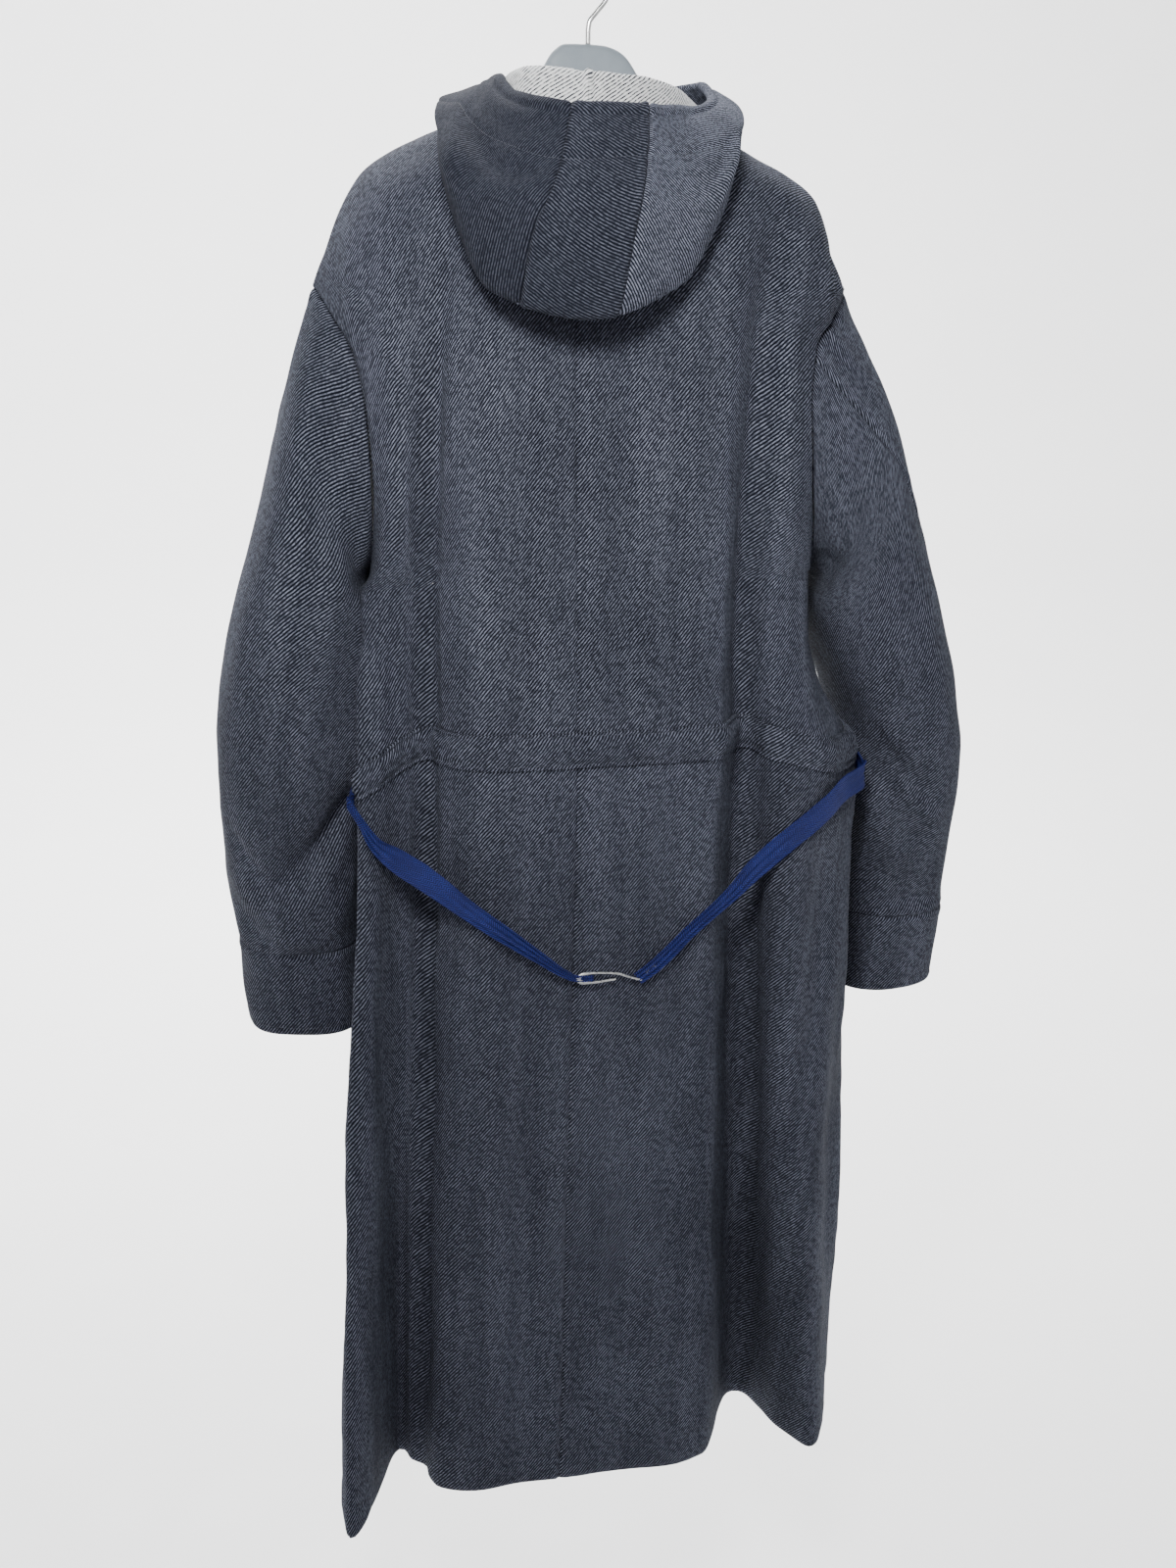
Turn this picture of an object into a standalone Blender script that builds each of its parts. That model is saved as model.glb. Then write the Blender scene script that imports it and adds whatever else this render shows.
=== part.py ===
import math

import bpy
import numpy as np

# Mountain parka on a hanger. Metres, +Z up, origin at the inner top of the hanger's hook.
# The coat's front faces -Y and its back +Y; the wearer's left is +X.

part_name = "mountain_parka"

cloth_thick = 0.0020       # wool cloth
half_gap = 0.00015         # each edge draws back this far at a seam
lay_gap = 0.0005           # air between a panel and what lies on it
hem_level = -1.330
armpit_level = -0.500
casing_top = -0.6165
casing_low = -0.6465
round_over = 0.045         # how far down the cloth rounds over the shoulder line
neck_half = 0.062          # half width of the neck opening on the shoulder line
neck_back_level = -0.146
neck_front_level = -0.196
front_overlap = 0.026      # each front passes the centre line by this much
tape_thick = 0.0012
hook_wire = 0.0021         # radius of the hanger's hook wire
belt_wire = 0.0013         # radius of the belt hook's wire
belt_turn_radius = 0.0050  # where each tape doubles back at the casing's end

# height of the shoulder line across the coat, from the wearer's right to the left
shoulder_line = (
    # x, level
    (-0.2254, -0.2661),
    (-0.2081, -0.2337),
    (-0.1971, -0.2040),
    (-0.1840, -0.1860),
    (-0.1385, -0.1580),
    (-0.0650, -0.1220),
    (0.0000, -0.0960),
    (0.0650, -0.1167),
    (0.1195, -0.1396),
    (0.1643, -0.1596),
    (0.1851, -0.1740),
    (0.2051, -0.2048),
    (0.2174, -0.2351),
    (0.2287, -0.2610),
)

# plan of the body at each level, before its folds
body_rows = (
    # level, x of centre back, depth of back, x of centre front, depth of front
    (-0.090, 0.012, 0.052, 0.004, 0.052),
    (-0.146, 0.018, 0.066, 0.005, 0.074),
    (-0.200, 0.025, 0.086, 0.006, 0.090),
    (-0.260, 0.031, 0.101, 0.008, 0.100),
    (-0.340, 0.033, 0.112, 0.010, 0.108),
    (-0.500, 0.034, 0.120, 0.012, 0.112),
    (-0.630, 0.035, 0.124, 0.014, 0.110),
    (-0.880, 0.042, 0.128, 0.016, 0.112),
    (-1.360, 0.056, 0.132, 0.018, 0.118),
)

# x of the armhole seam, then of the side seam, and the side seam's y, for each side
left_edge = (
    # level, x, y
    (-0.261, 0.2287, 0.000),
    (-0.285, 0.2180, 0.000),
    (-0.317, 0.2030, 0.000),
    (-0.360, 0.1955, 0.000),
    (-0.420, 0.1925, 0.000),
    (-0.470, 0.1925, 0.000),
    (-0.500, 0.1930, 0.000),
    (-0.540, 0.1850, 0.004),
    (-0.600, 0.1800, 0.008),
    (-0.660, 0.1810, 0.010),
    (-0.750, 0.1860, 0.010),
    (-0.880, 0.1960, 0.008),
    (-1.000, 0.2100, 0.006),
    (-1.360, 0.2420, 0.005),
)
right_edge = (
    (-0.266, -0.2254, 0.000),
    (-0.285, -0.2080, 0.000),
    (-0.310, -0.1850, 0.000),
    (-0.360, -0.1770, 0.000),
    (-0.420, -0.1800, 0.000),
    (-0.470, -0.1880, 0.000),
    (-0.500, -0.1920, 0.000),
    (-0.562, -0.1930, 0.008),
    (-0.610, -0.2060, 0.018),
    (-0.664, -0.2360, 0.030),
    (-0.700, -0.2375, 0.032),
    (-0.750, -0.2350, 0.034),
    (-0.880, -0.2365, 0.036),
    (-1.000, -0.2380, 0.036),
    (-1.360, -0.2300, 0.030),
)
armhole_depth = 0.075      # how far the armhole reaches to the back and to the front

# folds of each panel: where they run, counted along the cloth from the centre line,
# how far they stand out (or in), and how wide they are
fold_rows = (
    # panel, top level, mid level, low level, run top/mid/low, out top/mid/low, wide top/mid/low, sideways
    ("back_left", -0.17, -0.63, -1.33, 0.118, 0.134, 0.144, -0.002, -0.021, -0.052, 0.034, 0.034, 0.032, 0.00),
    ("back_left", -0.36, -0.64, -1.33, 0.180, 0.190, 0.202, 0.002, 0.040, 0.092, 0.042, 0.054, 0.068, 0.80),
    ("back_left", -0.17, -0.30, -0.44, 0.165, 0.160, 0.158, -0.003, -0.006, 0.000, 0.024, 0.024, 0.024, 0.00),
    ("back_left", -0.32, -0.80, -1.33, 0.060, 0.068, 0.080, 0.000, 0.003, 0.006, 0.045, 0.045, 0.050, 0.00),
    ("back_right", -0.17, -0.63, -1.33, 0.172, 0.150, 0.192, -0.005, -0.026, -0.076, 0.034, 0.032, 0.054, 0.00),
    ("back_right", -0.30, -0.80, -1.33, 0.215, 0.215, 0.250, 0.000, 0.014, 0.036, 0.040, 0.045, 0.050, 0.10),
    ("back_right", -0.34, -0.85, -1.33, 0.070, 0.080, 0.100, 0.000, 0.003, 0.006, 0.045, 0.050, 0.050, 0.00),
    ("front_left", -0.26, -0.75, -1.33, 0.110, 0.120, 0.132, 0.000, -0.010, -0.026, 0.036, 0.040, 0.046, 0.00),
    ("front_left", -0.60, -1.00, -1.33, 0.190, 0.195, 0.205, 0.000, 0.010, 0.022, 0.036, 0.040, 0.050, 0.30),
    ("front_right", -0.26, -0.75, -1.33, 0.120, 0.128, 0.150, 0.000, -0.012, -0.030, 0.034, 0.040, 0.050, 0.00),
    ("front_right", -0.60, -1.00, -1.33, 0.200, 0.205, 0.222, 0.000, 0.008, 0.020, 0.036, 0.040, 0.050, 0.30),
)

# sleeve sections below the armhole: outer point, inner point, middle and half depth
left_sleeve_rows = (
    # x out, z out, x in, z in, y middle, half depth
    (0.2546, -0.3431, 0.2020, -0.5130, 0.003, 0.080),
    (0.2818, -0.4387, 0.2010, -0.5300, 0.010, 0.083),
    (0.3105, -0.5389, 0.1975, -0.5750, 0.014, 0.082),
    (0.3260, -0.6300, 0.1950, -0.6300, 0.006, 0.080),
    (0.3285, -0.7000, 0.2020, -0.6900, -0.012, 0.074),
    (0.3275, -0.7600, 0.2060, -0.7550, -0.032, 0.068),
    (0.3175, -0.8362, 0.2080, -0.8400, -0.050, 0.062),
    (0.3140, -0.9170, 0.2080, -0.9230, -0.058, 0.060),
)
right_sleeve_rows = (
    (-0.2570, -0.3493, -0.2050, -0.5150, 0.003, 0.080),
    (-0.2890, -0.4535, -0.2050, -0.5330, 0.006, 0.083),
    (-0.3230, -0.5646, -0.2120, -0.5800, 0.008, 0.082),
    (-0.3410, -0.6400, -0.2300, -0.6300, 0.002, 0.079),
    (-0.3500, -0.7010, -0.2430, -0.6900, -0.008, 0.074),
    (-0.3515, -0.7800, -0.2480, -0.7600, -0.020, 0.068),
    (-0.3530, -0.8366, -0.2480, -0.8380, -0.030, 0.062),
    (-0.3480, -0.9119, -0.2480, -0.9160, -0.036, 0.060),
)
# folds of the sleeves: which turn of the ring (0 outer, 90 back, 180 inner), along the sleeve 0 to 1
sleeve_folds = (
    # side, turn at start, along start, turn at end, along end, out, wide
    ("left", 125, 0.10, 112, 0.58, -0.010, 0.024),
    ("left", 150, 0.54, 55, 0.78, -0.011, 0.024),
    ("left", 160, 0.66, 75, 0.88, 0.007, 0.024),
    ("left", 20, 0.76, 60, 0.88, -0.008, 0.022),
    ("right", 150, 0.52, 95, 0.70, -0.010, 0.024),
    ("right", 165, 0.60, 110, 0.80, 0.006, 0.024),
    ("right", 130, 0.74, 60, 0.86, -0.007, 0.022),
)
# turn of the ring where the upper and the under piece of each sleeve meet, down the sleeve
sleeve_seams = (
    # share of the length, left back seam, left front seam, right back seam, right front seam
    (0.00, -2.0, -100.0, 63.0, -100.0),
    (0.12, -12.0, -108.0, 70.0, -108.0),
    (0.25, -20.0, -114.0, 42.0, -114.0),
    (0.42, -24.0, -120.0, 12.0, -120.0),
    (0.70, -28.0, -126.0, 5.0, -126.0),
    (1.00, -30.0, -130.0, 0.0, -130.0),
)

# hood, thrown back: its section at each turn round the neck (0 back, 90 wearer's left, 180 front)
hood_rows = (
    # turn, ridge r, z, low r, z, out r, z, rim r, z
    (-180, 0.096, -0.168, 0.112, -0.190, 0.118, -0.180, 0.110, -0.156),
    (-150, 0.090, -0.133, 0.112, -0.168, 0.120, -0.157, 0.106, -0.136),
    (-120, 0.084, -0.108, 0.112, -0.132, 0.122, -0.124, 0.100, -0.113),
    (-90, 0.078, -0.112, 0.114, -0.134, 0.125, -0.124, 0.098, -0.112),
    (-60, 0.082, -0.112, 0.137, -0.156, 0.144, -0.144, 0.104, -0.114),
    (-45, 0.086, -0.110, 0.149, -0.212, 0.158, -0.178, 0.110, -0.119),
    (-30, 0.089, -0.108, 0.146, -0.262, 0.162, -0.205, 0.120, -0.126),
    (0, 0.090, -0.106, 0.150, -0.287, 0.172, -0.215, 0.140, -0.131),
    (30, 0.089, -0.102, 0.152, -0.266, 0.166, -0.205, 0.118, -0.119),
    (45, 0.084, -0.104, 0.147, -0.212, 0.157, -0.178, 0.104, -0.107),
    (60, 0.080, -0.107, 0.130, -0.156, 0.139, -0.144, 0.090, -0.099),
    (90, 0.076, -0.108, 0.110, -0.128, 0.121, -0.119, 0.086, -0.106),
    (120, 0.084, -0.111, 0.112, -0.130, 0.120, -0.122, 0.094, -0.111),
    (150, 0.090, -0.138, 0.112, -0.168, 0.118, -0.157, 0.104, -0.136),
    (180, 0.096, -0.168, 0.112, -0.190, 0.118, -0.180, 0.110, -0.156),
)
hood_lean = 0.21           # the thrown-back hood swings this far to the wearer's left
# turn of the two seams beside the hood's centre strip, from its low point up to the rim
strip_seams = (
    # share of the way up, left seam, right seam
    (0.00, 21.0, -9.0),
    (0.35, 17.0, -12.0),
    (0.70, 8.0, -22.0),
    (1.00, 6.0, -24.0),
)


def soft_table(x, knots, values):
    """Smooth curve through a table, without overshoot."""
    knots = np.asarray(knots, float)
    values = np.asarray(values, float)
    if knots[0] > knots[-1]:
        knots, values = knots[::-1], values[::-1]
    x = np.clip(np.asarray(x, float), knots[0], knots[-1])
    step = np.diff(knots)
    rise = np.diff(values) / step
    slope = np.zeros_like(values)
    both = rise[:-1] * rise[1:] > 0
    mean = 2.0 * rise[:-1] * rise[1:] / np.where(both, rise[:-1] + rise[1:], 1.0)
    slope[1:-1] = np.where(both, mean, 0.0)
    slope[0], slope[-1] = rise[0], rise[-1]
    i = np.clip(np.searchsorted(knots, x, side="right") - 1, 0, len(step) - 1)
    h = step[i]
    t = (x - knots[i]) / h
    a = (1 + 2 * t) * (1 - t) ** 2
    b = t * (1 - t) ** 2
    c = t * t * (3 - 2 * t)
    d = t * t * (t - 1)
    return a * values[i] + b * h * slope[i] + c * values[i + 1] + d * h * slope[i + 1]


def column(rows, k):
    return [row[k] for row in rows]


def shoulder_level(x):
    return soft_table(x, column(shoulder_line, 0), column(shoulder_line, 1))


def round_factor(x, z):
    """0 on the shoulder line, 1 once the cloth has rounded over it."""
    slope = (shoulder_level(x + 0.001) - shoulder_level(x - 0.001)) / 0.002
    down = (shoulder_level(x) - z) / np.sqrt(1.0 + slope ** 2)
    t = np.clip(down / round_over, 0.0, 1.0)
    return np.sqrt(np.clip(1.0 - (1.0 - t) ** 2, 0.0, 1.0))


def side_name(side):
    return "left" if side > 0 else "right"


def body_edge(z, side, face):
    """Side seam's y, and x and y where the panel ends: at the armhole, or at the side seam."""
    rows = left_edge if side > 0 else right_edge
    x = float(soft_table(z, column(rows, 0), column(rows, 1)))
    y = float(soft_table(z, column(rows, 0), column(rows, 2)))
    tip = rows[0][0]
    middle, half = (tip + armpit_level) / 2, (tip - armpit_level) / 2
    share = min(1.0, max(-1.0, (z - middle) / half))
    return y, x, y + face * armhole_depth * math.sqrt(1.0 - share ** 2)


def fold_push(panel, run, z):
    """Outward and sideways push of the panel's folds."""
    out = np.zeros_like(run)
    sideways = np.zeros_like(run)
    for row in fold_rows:
        if row[0] != panel or z > row[1]:
            continue
        levels = row[1:4]
        where = soft_table(z, levels, row[4:7])
        depth = soft_table(z, levels, row[7:10])
        wide = soft_table(z, levels, row[10:13])
        fade = min(1.0, (row[1] - z) / 0.10)
        fade = fade * fade * (3 - 2 * fade)
        if levels[2] > hem_level + 0.01:
            end = np.clip((z - levels[2] + 0.06) / 0.10, 0.0, 1.0)
            fade = fade * end * end * (3 - 2 * end)
        t = np.clip((run - where) / wide, -1.0, 1.0)
        bump = depth * fade * np.cos(t * math.pi / 2) ** 2
        out += bump
        sideways += bump * row[13]
    return out, sideways


dense = 480
levels = np.concatenate((np.linspace(-0.09, -0.70, 154), np.linspace(-0.71, -1.36, 131)))
x_power, y_power = 0.86, 0.62
fold_crowd = 0.05


def section(z, side, face):
    """Plan of one panel at a level, from the centre line to its edge, with folds."""
    body_z = column(body_rows, 0)
    k = 1 if face > 0 else 3
    centre = float(soft_table(z, body_z, column(body_rows, k)))
    depth = face * float(soft_table(z, body_z, column(body_rows, k + 1)))
    y_side, x_end, y_end = body_edge(z, side, face)
    stop = math.acos(min(1.0, max(0.0, (y_end - y_side) / (depth - y_side))) ** (1 / y_power))
    reach = (x_end - centre) / math.sin(stop) ** x_power
    phi = np.linspace(0.0, stop, dense)
    x = centre + reach * np.sin(phi) ** x_power
    y = y_side + (depth - y_side) * np.clip(np.cos(phi), 0, 1) ** y_power
    run = np.concatenate(([0.0], np.cumsum(np.hypot(np.diff(x), np.diff(y)))))
    panel = ("back_" if face > 0 else "front_") + side_name(side)
    out, sideways = fold_push(panel, run, z)
    still = np.clip((run[-1] - run) / 0.035, 0.0, 1.0) * np.clip(run / 0.01, 0.0, 1.0)
    sideways *= float(soft_table(z, (-1.33, -0.80, -0.66, -0.52, -0.46), (0.30, 0.75, 1.0, 0.9, 0.3)))
    return x + side * sideways * still, y + face * out * still


class Panel:
    """One quarter of the body, as a grid that can be read at any share and level."""

    def __init__(self, side, face, shares):
        self.side, self.face = side, face
        outlines, runs, marks = [], [], []
        for z in levels:
            x, y = section(z, side, face)
            step = np.hypot(np.diff(x), np.diff(y))
            way = np.unwrap(np.arctan2(np.diff(y), np.diff(x)))
            turn = np.abs(np.gradient(way)) / np.maximum(step, 1e-6)
            run = np.concatenate(([0.0], np.cumsum(step)))
            crowded = step * (1.0 + fold_crowd * np.minimum(turn, 60.0))
            weight = np.concatenate(([0.0], np.cumsum(crowded)))
            outlines.append((x, y))
            runs.append(run)
            marks.append(np.interp(shares, weight / weight[-1], run))
        # the stations drift smoothly from level to level; the last stays on the panel's edge
        marks = np.array(marks)
        reach = 14
        kernel = np.hanning(2 * reach + 3)[1:-1]
        kernel /= kernel.sum()
        padded = np.pad(marks, ((reach, reach), (0, 0)), mode="edge")
        last = marks.shape[1] - 1
        ends = marks[:, last].copy()
        for i in range(last):
            soft = np.convolve(padded[:, i], kernel, mode="valid")
            marks[:, i] = np.minimum(soft, ends * (1.0 - (1.0 - shares[i]) * 0.55))
        self.x = np.array([np.interp(m, r, o[0]) for m, r, o in zip(marks, runs, outlines)])
        self.y = np.array([np.interp(m, r, o[1]) for m, r, o in zip(marks, runs, outlines)])

    def at(self, i, z):
        x = np.interp(-z, -levels, self.x[:, i])
        y = np.interp(-z, -levels, self.y[:, i])
        return x, y * float(round_factor(x, z)), z


def neck_line(x, face):
    middle = neck_back_level if face > 0 else neck_front_level
    side_level = float(shoulder_level(neck_half if x > 0 else -neck_half))
    share = min(1.0, abs(x) / neck_half)
    power = 2.2 if face > 0 else 2.0
    return middle + (side_level - middle) * share ** power


neck_cells = 5
arm_cells = 8
swing_start = -0.90        # below this the cloth further back than swing_depth hangs lower
swing_depth = 0.138
swing_drop = 0.55          # by this share of how far it stands out
lower_levels = (
    -0.555, casing_top, casing_low, -0.700, -0.780, -0.880, -0.990, -1.100, -1.215, hem_level,
)


def waist_dip(run_share, side, face):
    """The waist casing sinks a little toward the side seams."""
    if face < 0:
        return 0.0
    t = max(0.0, (run_share - 0.45) / 0.55)
    return -(0.060 if side > 0 else 0.044) * t * t * (3 - 2 * t)


def panel_grid(side, face, across):
    """Outer points of one body panel: rows from neck and shoulder to the hem."""
    trial = Panel(side, face, np.linspace(0, 1, 201))
    xs = np.array([trial.at(i, -0.13)[0] for i in range(201)])
    neck_share = float(np.interp(neck_half, side * xs, np.linspace(0, 1, 201)))
    shares = np.concatenate((
        np.linspace(0, neck_share, neck_cells + 1),
        np.linspace(neck_share, 1, across - neck_cells + 1)[1:],
    ))
    panel = Panel(side, face, shares)
    rows = []
    edge_rows = left_edge if side > 0 else right_edge
    tip = edge_rows[0][0]
    even = np.linspace(0, 1, arm_cells + 1)
    turns = ((1 - np.cos(math.pi * even)) / 2 + even ** 1.5) / 2
    tops = []
    for i in range(across + 1):
        x = panel.at(i, -0.16)[0]
        for _ in range(6):
            if i == across:
                z = tip
            elif i <= neck_cells:
                z = neck_line(x, face)
            else:
                z = float(shoulder_level(x))
            x = panel.at(i, z)[0]
        tops.append(z)
    for j, t in enumerate(turns):
        row = []
        for i in range(across + 1):
            near = shares[i] ** 2
            down = (j / arm_cells) ** 1.8 * (1 - near) + t * near
            z = tops[i] + (armpit_level - tops[i]) * down
            row.append(panel.at(i, z))
        rows.append(row)
    for z in lower_levels:
        row = []
        for i in range(across + 1):
            near = math.exp(-((z + 0.63) / 0.13) ** 2)
            x, y, level = panel.at(i, z + waist_dip(shares[i], side, face) * near)
            # the cloth that swings out at the back also hangs lower
            low = max(0.0, (swing_start - z) / (swing_start - hem_level)) * swing_drop * max(0.0, y - swing_depth)
            row.append((x, y, level - low))
        rows.append(row)
    return np.array(rows)


def sleeve_grid(side, loop):
    """Rings from the armhole loop to the cuff's end; the loop runs outer, back, inner, front."""
    rows = left_sleeve_rows if side > 0 else right_sleeve_rows
    count = len(loop)
    turns = np.linspace(0, 2 * math.pi, count, endpoint=False)
    keys = [np.array(loop)]
    for x_out, z_out, x_in, z_in, y_mid, deep in rows:
        out = np.array([x_out, y_mid, z_out])
        inner = np.array([x_in, y_mid, z_in])
        mid, arm = (out + inner) / 2, (out - inner) / 2
        c, s = np.cos(turns), np.sin(turns)
        c = np.sign(c) * np.abs(c) ** 0.80
        s = np.sign(s) * np.abs(s) ** 0.80
        keys.append(mid + c[:, None] * arm + s[:, None] * np.array([0, deep, 0]))
    keys = np.array(keys)
    middles = keys.mean(axis=1)
    run = np.concatenate(([0.0], np.cumsum(np.linalg.norm(np.diff(middles, axis=0), axis=1))))
    run /= run[-1]
    cuff_start = run[-2]
    shares = np.concatenate((
        np.linspace(0, 0.30, 5), np.linspace(0.30, cuff_start, 9)[1:],
        np.linspace(cuff_start, 1, 3)[1:],
    ))
    grid = np.zeros((len(shares), count, 3))
    for j in range(count):
        for axis in range(3):
            grid[:, j, axis] = soft_table(shares, run, keys[:, j, axis])
    centre = grid.mean(axis=1, keepdims=True)
    reach = np.linalg.norm(grid - centre, axis=2)
    away = (grid - centre) / reach[:, :, None]
    degrees = np.degrees(turns)
    for name, turn_a, along_a, turn_b, along_b, out, wide in sleeve_folds:
        if name != side_name(side):
            continue
        for r, share in enumerate(shares):
            if share >= cuff_start - 1e-9 or share <= 0.02:
                continue
            for j in range(count):
                here = np.array([share * 0.62, math.radians(degrees[j]) * 0.072])
                a = np.array([along_a * 0.62, math.radians(turn_a) * 0.072])
                b = np.array([along_b * 0.62, math.radians(turn_b) * 0.072])
                t = float(np.clip(np.dot(here - a, b - a) / np.dot(b - a, b - a), 0, 1))
                off = np.linalg.norm(here - a - t * (b - a))
                taper = math.sin(math.pi * (0.12 + 0.76 * t))
                grid[r, j] += away[r, j] * out * taper * math.exp(-(off / wide) ** 2)
    return grid, shares, cuff_start


def hood_point(turn, share, neck):
    """Point of the hood; share 0 at the neck seam, 1 at the low point, 2 at the rim."""
    keys = column(hood_rows, 0)
    r = [math.hypot(neck[0], neck[1])]
    z = [neck[2]]
    for k in (1, 3, 5, 7):
        r.append(float(soft_table(turn, keys, column(hood_rows, k))))
        z.append(float(soft_table(turn, keys, column(hood_rows, k + 1))))
    marks = (0.0, 0.28, 1.0, 1.45, 2.0)
    a = math.radians(turn)
    reach = float(soft_table(share, marks, r))
    height = float(soft_table(share, marks, z))
    if 0.28 < share < 1.0:
        t = (share - 0.28) / 0.72
        reach -= 0.012 * math.sin(math.pi * t) * max(0.0, math.cos(a))
    y = reach * math.cos(a)
    x = reach * math.sin(a) + hood_lean * max(0.0, y) * min(1.0, share / 0.28)
    if share < 0.28:
        t = share / 0.28
        x = neck[0] + (x - neck[0]) * t if share > 0 else neck[0]
        y = neck[1] + (y - neck[1]) * t if share > 0 else neck[1]
    return (x, y, height)


# ---------------------------------------------------------------- meshes

for thing in list(bpy.data.objects):
    bpy.data.objects.remove(thing, do_unlink=True)

part_collection = bpy.data.collections.new(part_name)
bpy.context.scene.collection.children.link(part_collection)


def make_material(name, colour, rough, metal=0.0):
    material = bpy.data.materials.new(name)
    material.use_nodes = True
    shader = material.node_tree.nodes["Principled BSDF"]
    shader.inputs["Base Color"].default_value = (*colour, 1.0)
    shader.inputs["Roughness"].default_value = rough
    shader.inputs["Metallic"].default_value = metal
    material.diffuse_color = (*colour, 1.0)
    return material


colours = {
    "wool": ((0.055, 0.066, 0.092), 0.92, 0.0),
    "pale": ((0.46, 0.46, 0.45), 0.92, 0.0),
    "tape": ((0.035, 0.050, 0.210), 0.70, 0.0),
    "steel": ((0.62, 0.62, 0.60), 0.30, 1.0),
    "shell": ((0.40, 0.43, 0.45), 0.45, 0.0),
}


def add_mesh(name, verts, faces, colour):
    mesh = bpy.data.meshes.new(name)
    mesh.from_pydata([tuple(map(float, v)) for v in verts], [], faces)
    mesh.update()
    verts = np.array(verts, float)
    volume = 0.0
    for face in faces:
        for k in range(1, len(face) - 1):
            a, b, c = verts[face[0]], verts[face[k]], verts[face[k + 1]]
            volume += float(np.dot(a, np.cross(b, c)))
    if volume < 0:
        mesh.flip_normals()
    tint, rough, metal = colours[colour]
    mesh.materials.append(make_material(name, tint, rough, metal))
    for polygon in mesh.polygons:
        polygon.use_smooth = False
    thing = bpy.data.objects.new(name, mesh)
    part_collection.objects.link(thing)
    return thing


def grid_normals(grid, wrap=False):
    """Sum of face normals at each point of a grid, not yet scaled."""
    rows, cols = grid.shape[:2]
    total = np.zeros_like(grid)
    last = cols if wrap else cols - 1
    for r in range(rows - 1):
        for c in range(last):
            d = (c + 1) % cols
            a, b = grid[r, c], grid[r, d]
            e, f = grid[r + 1, d], grid[r + 1, c]
            n = np.cross(e - a, f - b)
            for i, j in ((r, c), (r, d), (r + 1, d), (r + 1, c)):
                total[i, j] += n
    return total


def unit(v):
    return v / np.maximum(np.linalg.norm(v, axis=-1, keepdims=True), 1e-12)


pieces = {}


def add_piece(name, grid, flip, wrap=False):
    """Outer grid of a cloth piece; flip turns its normals outward."""
    pieces[name] = {"grid": np.array(grid), "flip": -1.0 if flip else 1.0, "wrap": wrap}


def weld_normals():
    """Neighbours share one normal along a seam, unless the cloth folds sharply there."""
    for piece in pieces.values():
        piece["normal"] = unit(grid_normals(piece["grid"], piece["wrap"]) * piece["flip"])
    for turn in range(3):
        book = {}
        for name, piece in pieces.items():
            flat, own = piece["grid"].reshape(-1, 3), piece["normal"].reshape(-1, 3)
            for k, point in enumerate(flat):
                book.setdefault(tuple(np.round(point, 6)), []).append((name, own[k].copy()))
        for name, piece in pieces.items():
            flat, own = piece["grid"].reshape(-1, 3), piece["normal"].reshape(-1, 3)
            joined = own.copy()
            for k, point in enumerate(flat):
                near = [
                    n for other, n in book[tuple(np.round(point, 6))]
                    if float(np.dot(n, own[k])) > (-0.6 if "hood" in name and "hood" in other else 0.3)
                ]
                joined[k] = np.sum(near, axis=0)
            piece["normal"] = unit(joined).reshape(piece["grid"].shape)
        if turn == 2:
            break
        for piece in pieces.values():
            n = piece["normal"]
            soft = n * 2.0
            soft[1:-1] += n[:-2] + n[2:]
            if piece["wrap"]:
                soft += np.roll(n, 1, axis=1) + np.roll(n, -1, axis=1)
            else:
                soft[:, 1:-1] += n[:, :-2] + n[:, 2:]
            piece["normal"] = unit(soft)


def draw_back(grid, shift, edge, amount):
    """Move one edge of a grid back from its seam, along the cloth."""
    if edge == "top":
        shift[0] += unit(grid[1] - grid[0]) * amount
    elif edge == "low":
        shift[-1] += unit(grid[-2] - grid[-1]) * amount
    elif edge == "start":
        shift[:, 0] += unit(grid[:, 1] - grid[:, 0]) * amount
    else:
        shift[:, -1] += unit(grid[:, -2] - grid[:, -1]) * amount


def cloth_solid(name, edges, colour="wool", thick=cloth_thick, lift=0.0):
    """Closed wall of a piece: outer grid, inner grid and the four edges."""
    piece = pieces[name]
    grid, normal, wrap = piece["grid"], piece["normal"], piece["wrap"]
    shift = np.zeros_like(grid)
    for edge, amount in edges.items():
        draw_back(grid, shift, edge, amount)
    outer = grid + shift + normal * (lift + (thick if lift else 0.0))
    inner = outer - normal * thick
    rows, cols = grid.shape[:2]
    verts = np.concatenate((outer.reshape(-1, 3), inner.reshape(-1, 3)))
    half = rows * cols
    faces = []
    last = cols if wrap else cols - 1
    for r in range(rows - 1):
        for c in range(last):
            d = (c + 1) % cols
            a, b, e, f = r * cols + c, r * cols + d, (r + 1) * cols + d, (r + 1) * cols + c
            # both faces of the wall are cut along the same diagonal
            faces += [(a, b, e), (a, e, f)]
            faces += [(half + e, half + b, half + a), (half + f, half + e, half + a)]
    for c in range(last):
        d = (c + 1) % cols
        faces.append((half + c, half + d, d, c))
        low = (rows - 1) * cols
        faces.append((low + c, low + d, half + low + d, half + low + c))
    if not wrap:
        for r in range(rows - 1):
            a, b = r * cols, (r + 1) * cols
            faces.append((a, b, half + b, half + a))
            a, b = a + cols - 1, b + cols - 1
            faces.append((half + a, half + b, b, a))
    piece["outer"] = outer
    return add_mesh(name, verts, faces, colour)


# ---------------------------------------------------------------- body

across = 18                # cells from the centre line to the edge of each body panel
quarter = {}
for side in (1, -1):
    for face in (1, -1):
        quarter[side, face] = panel_grid(side, face, across)

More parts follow.
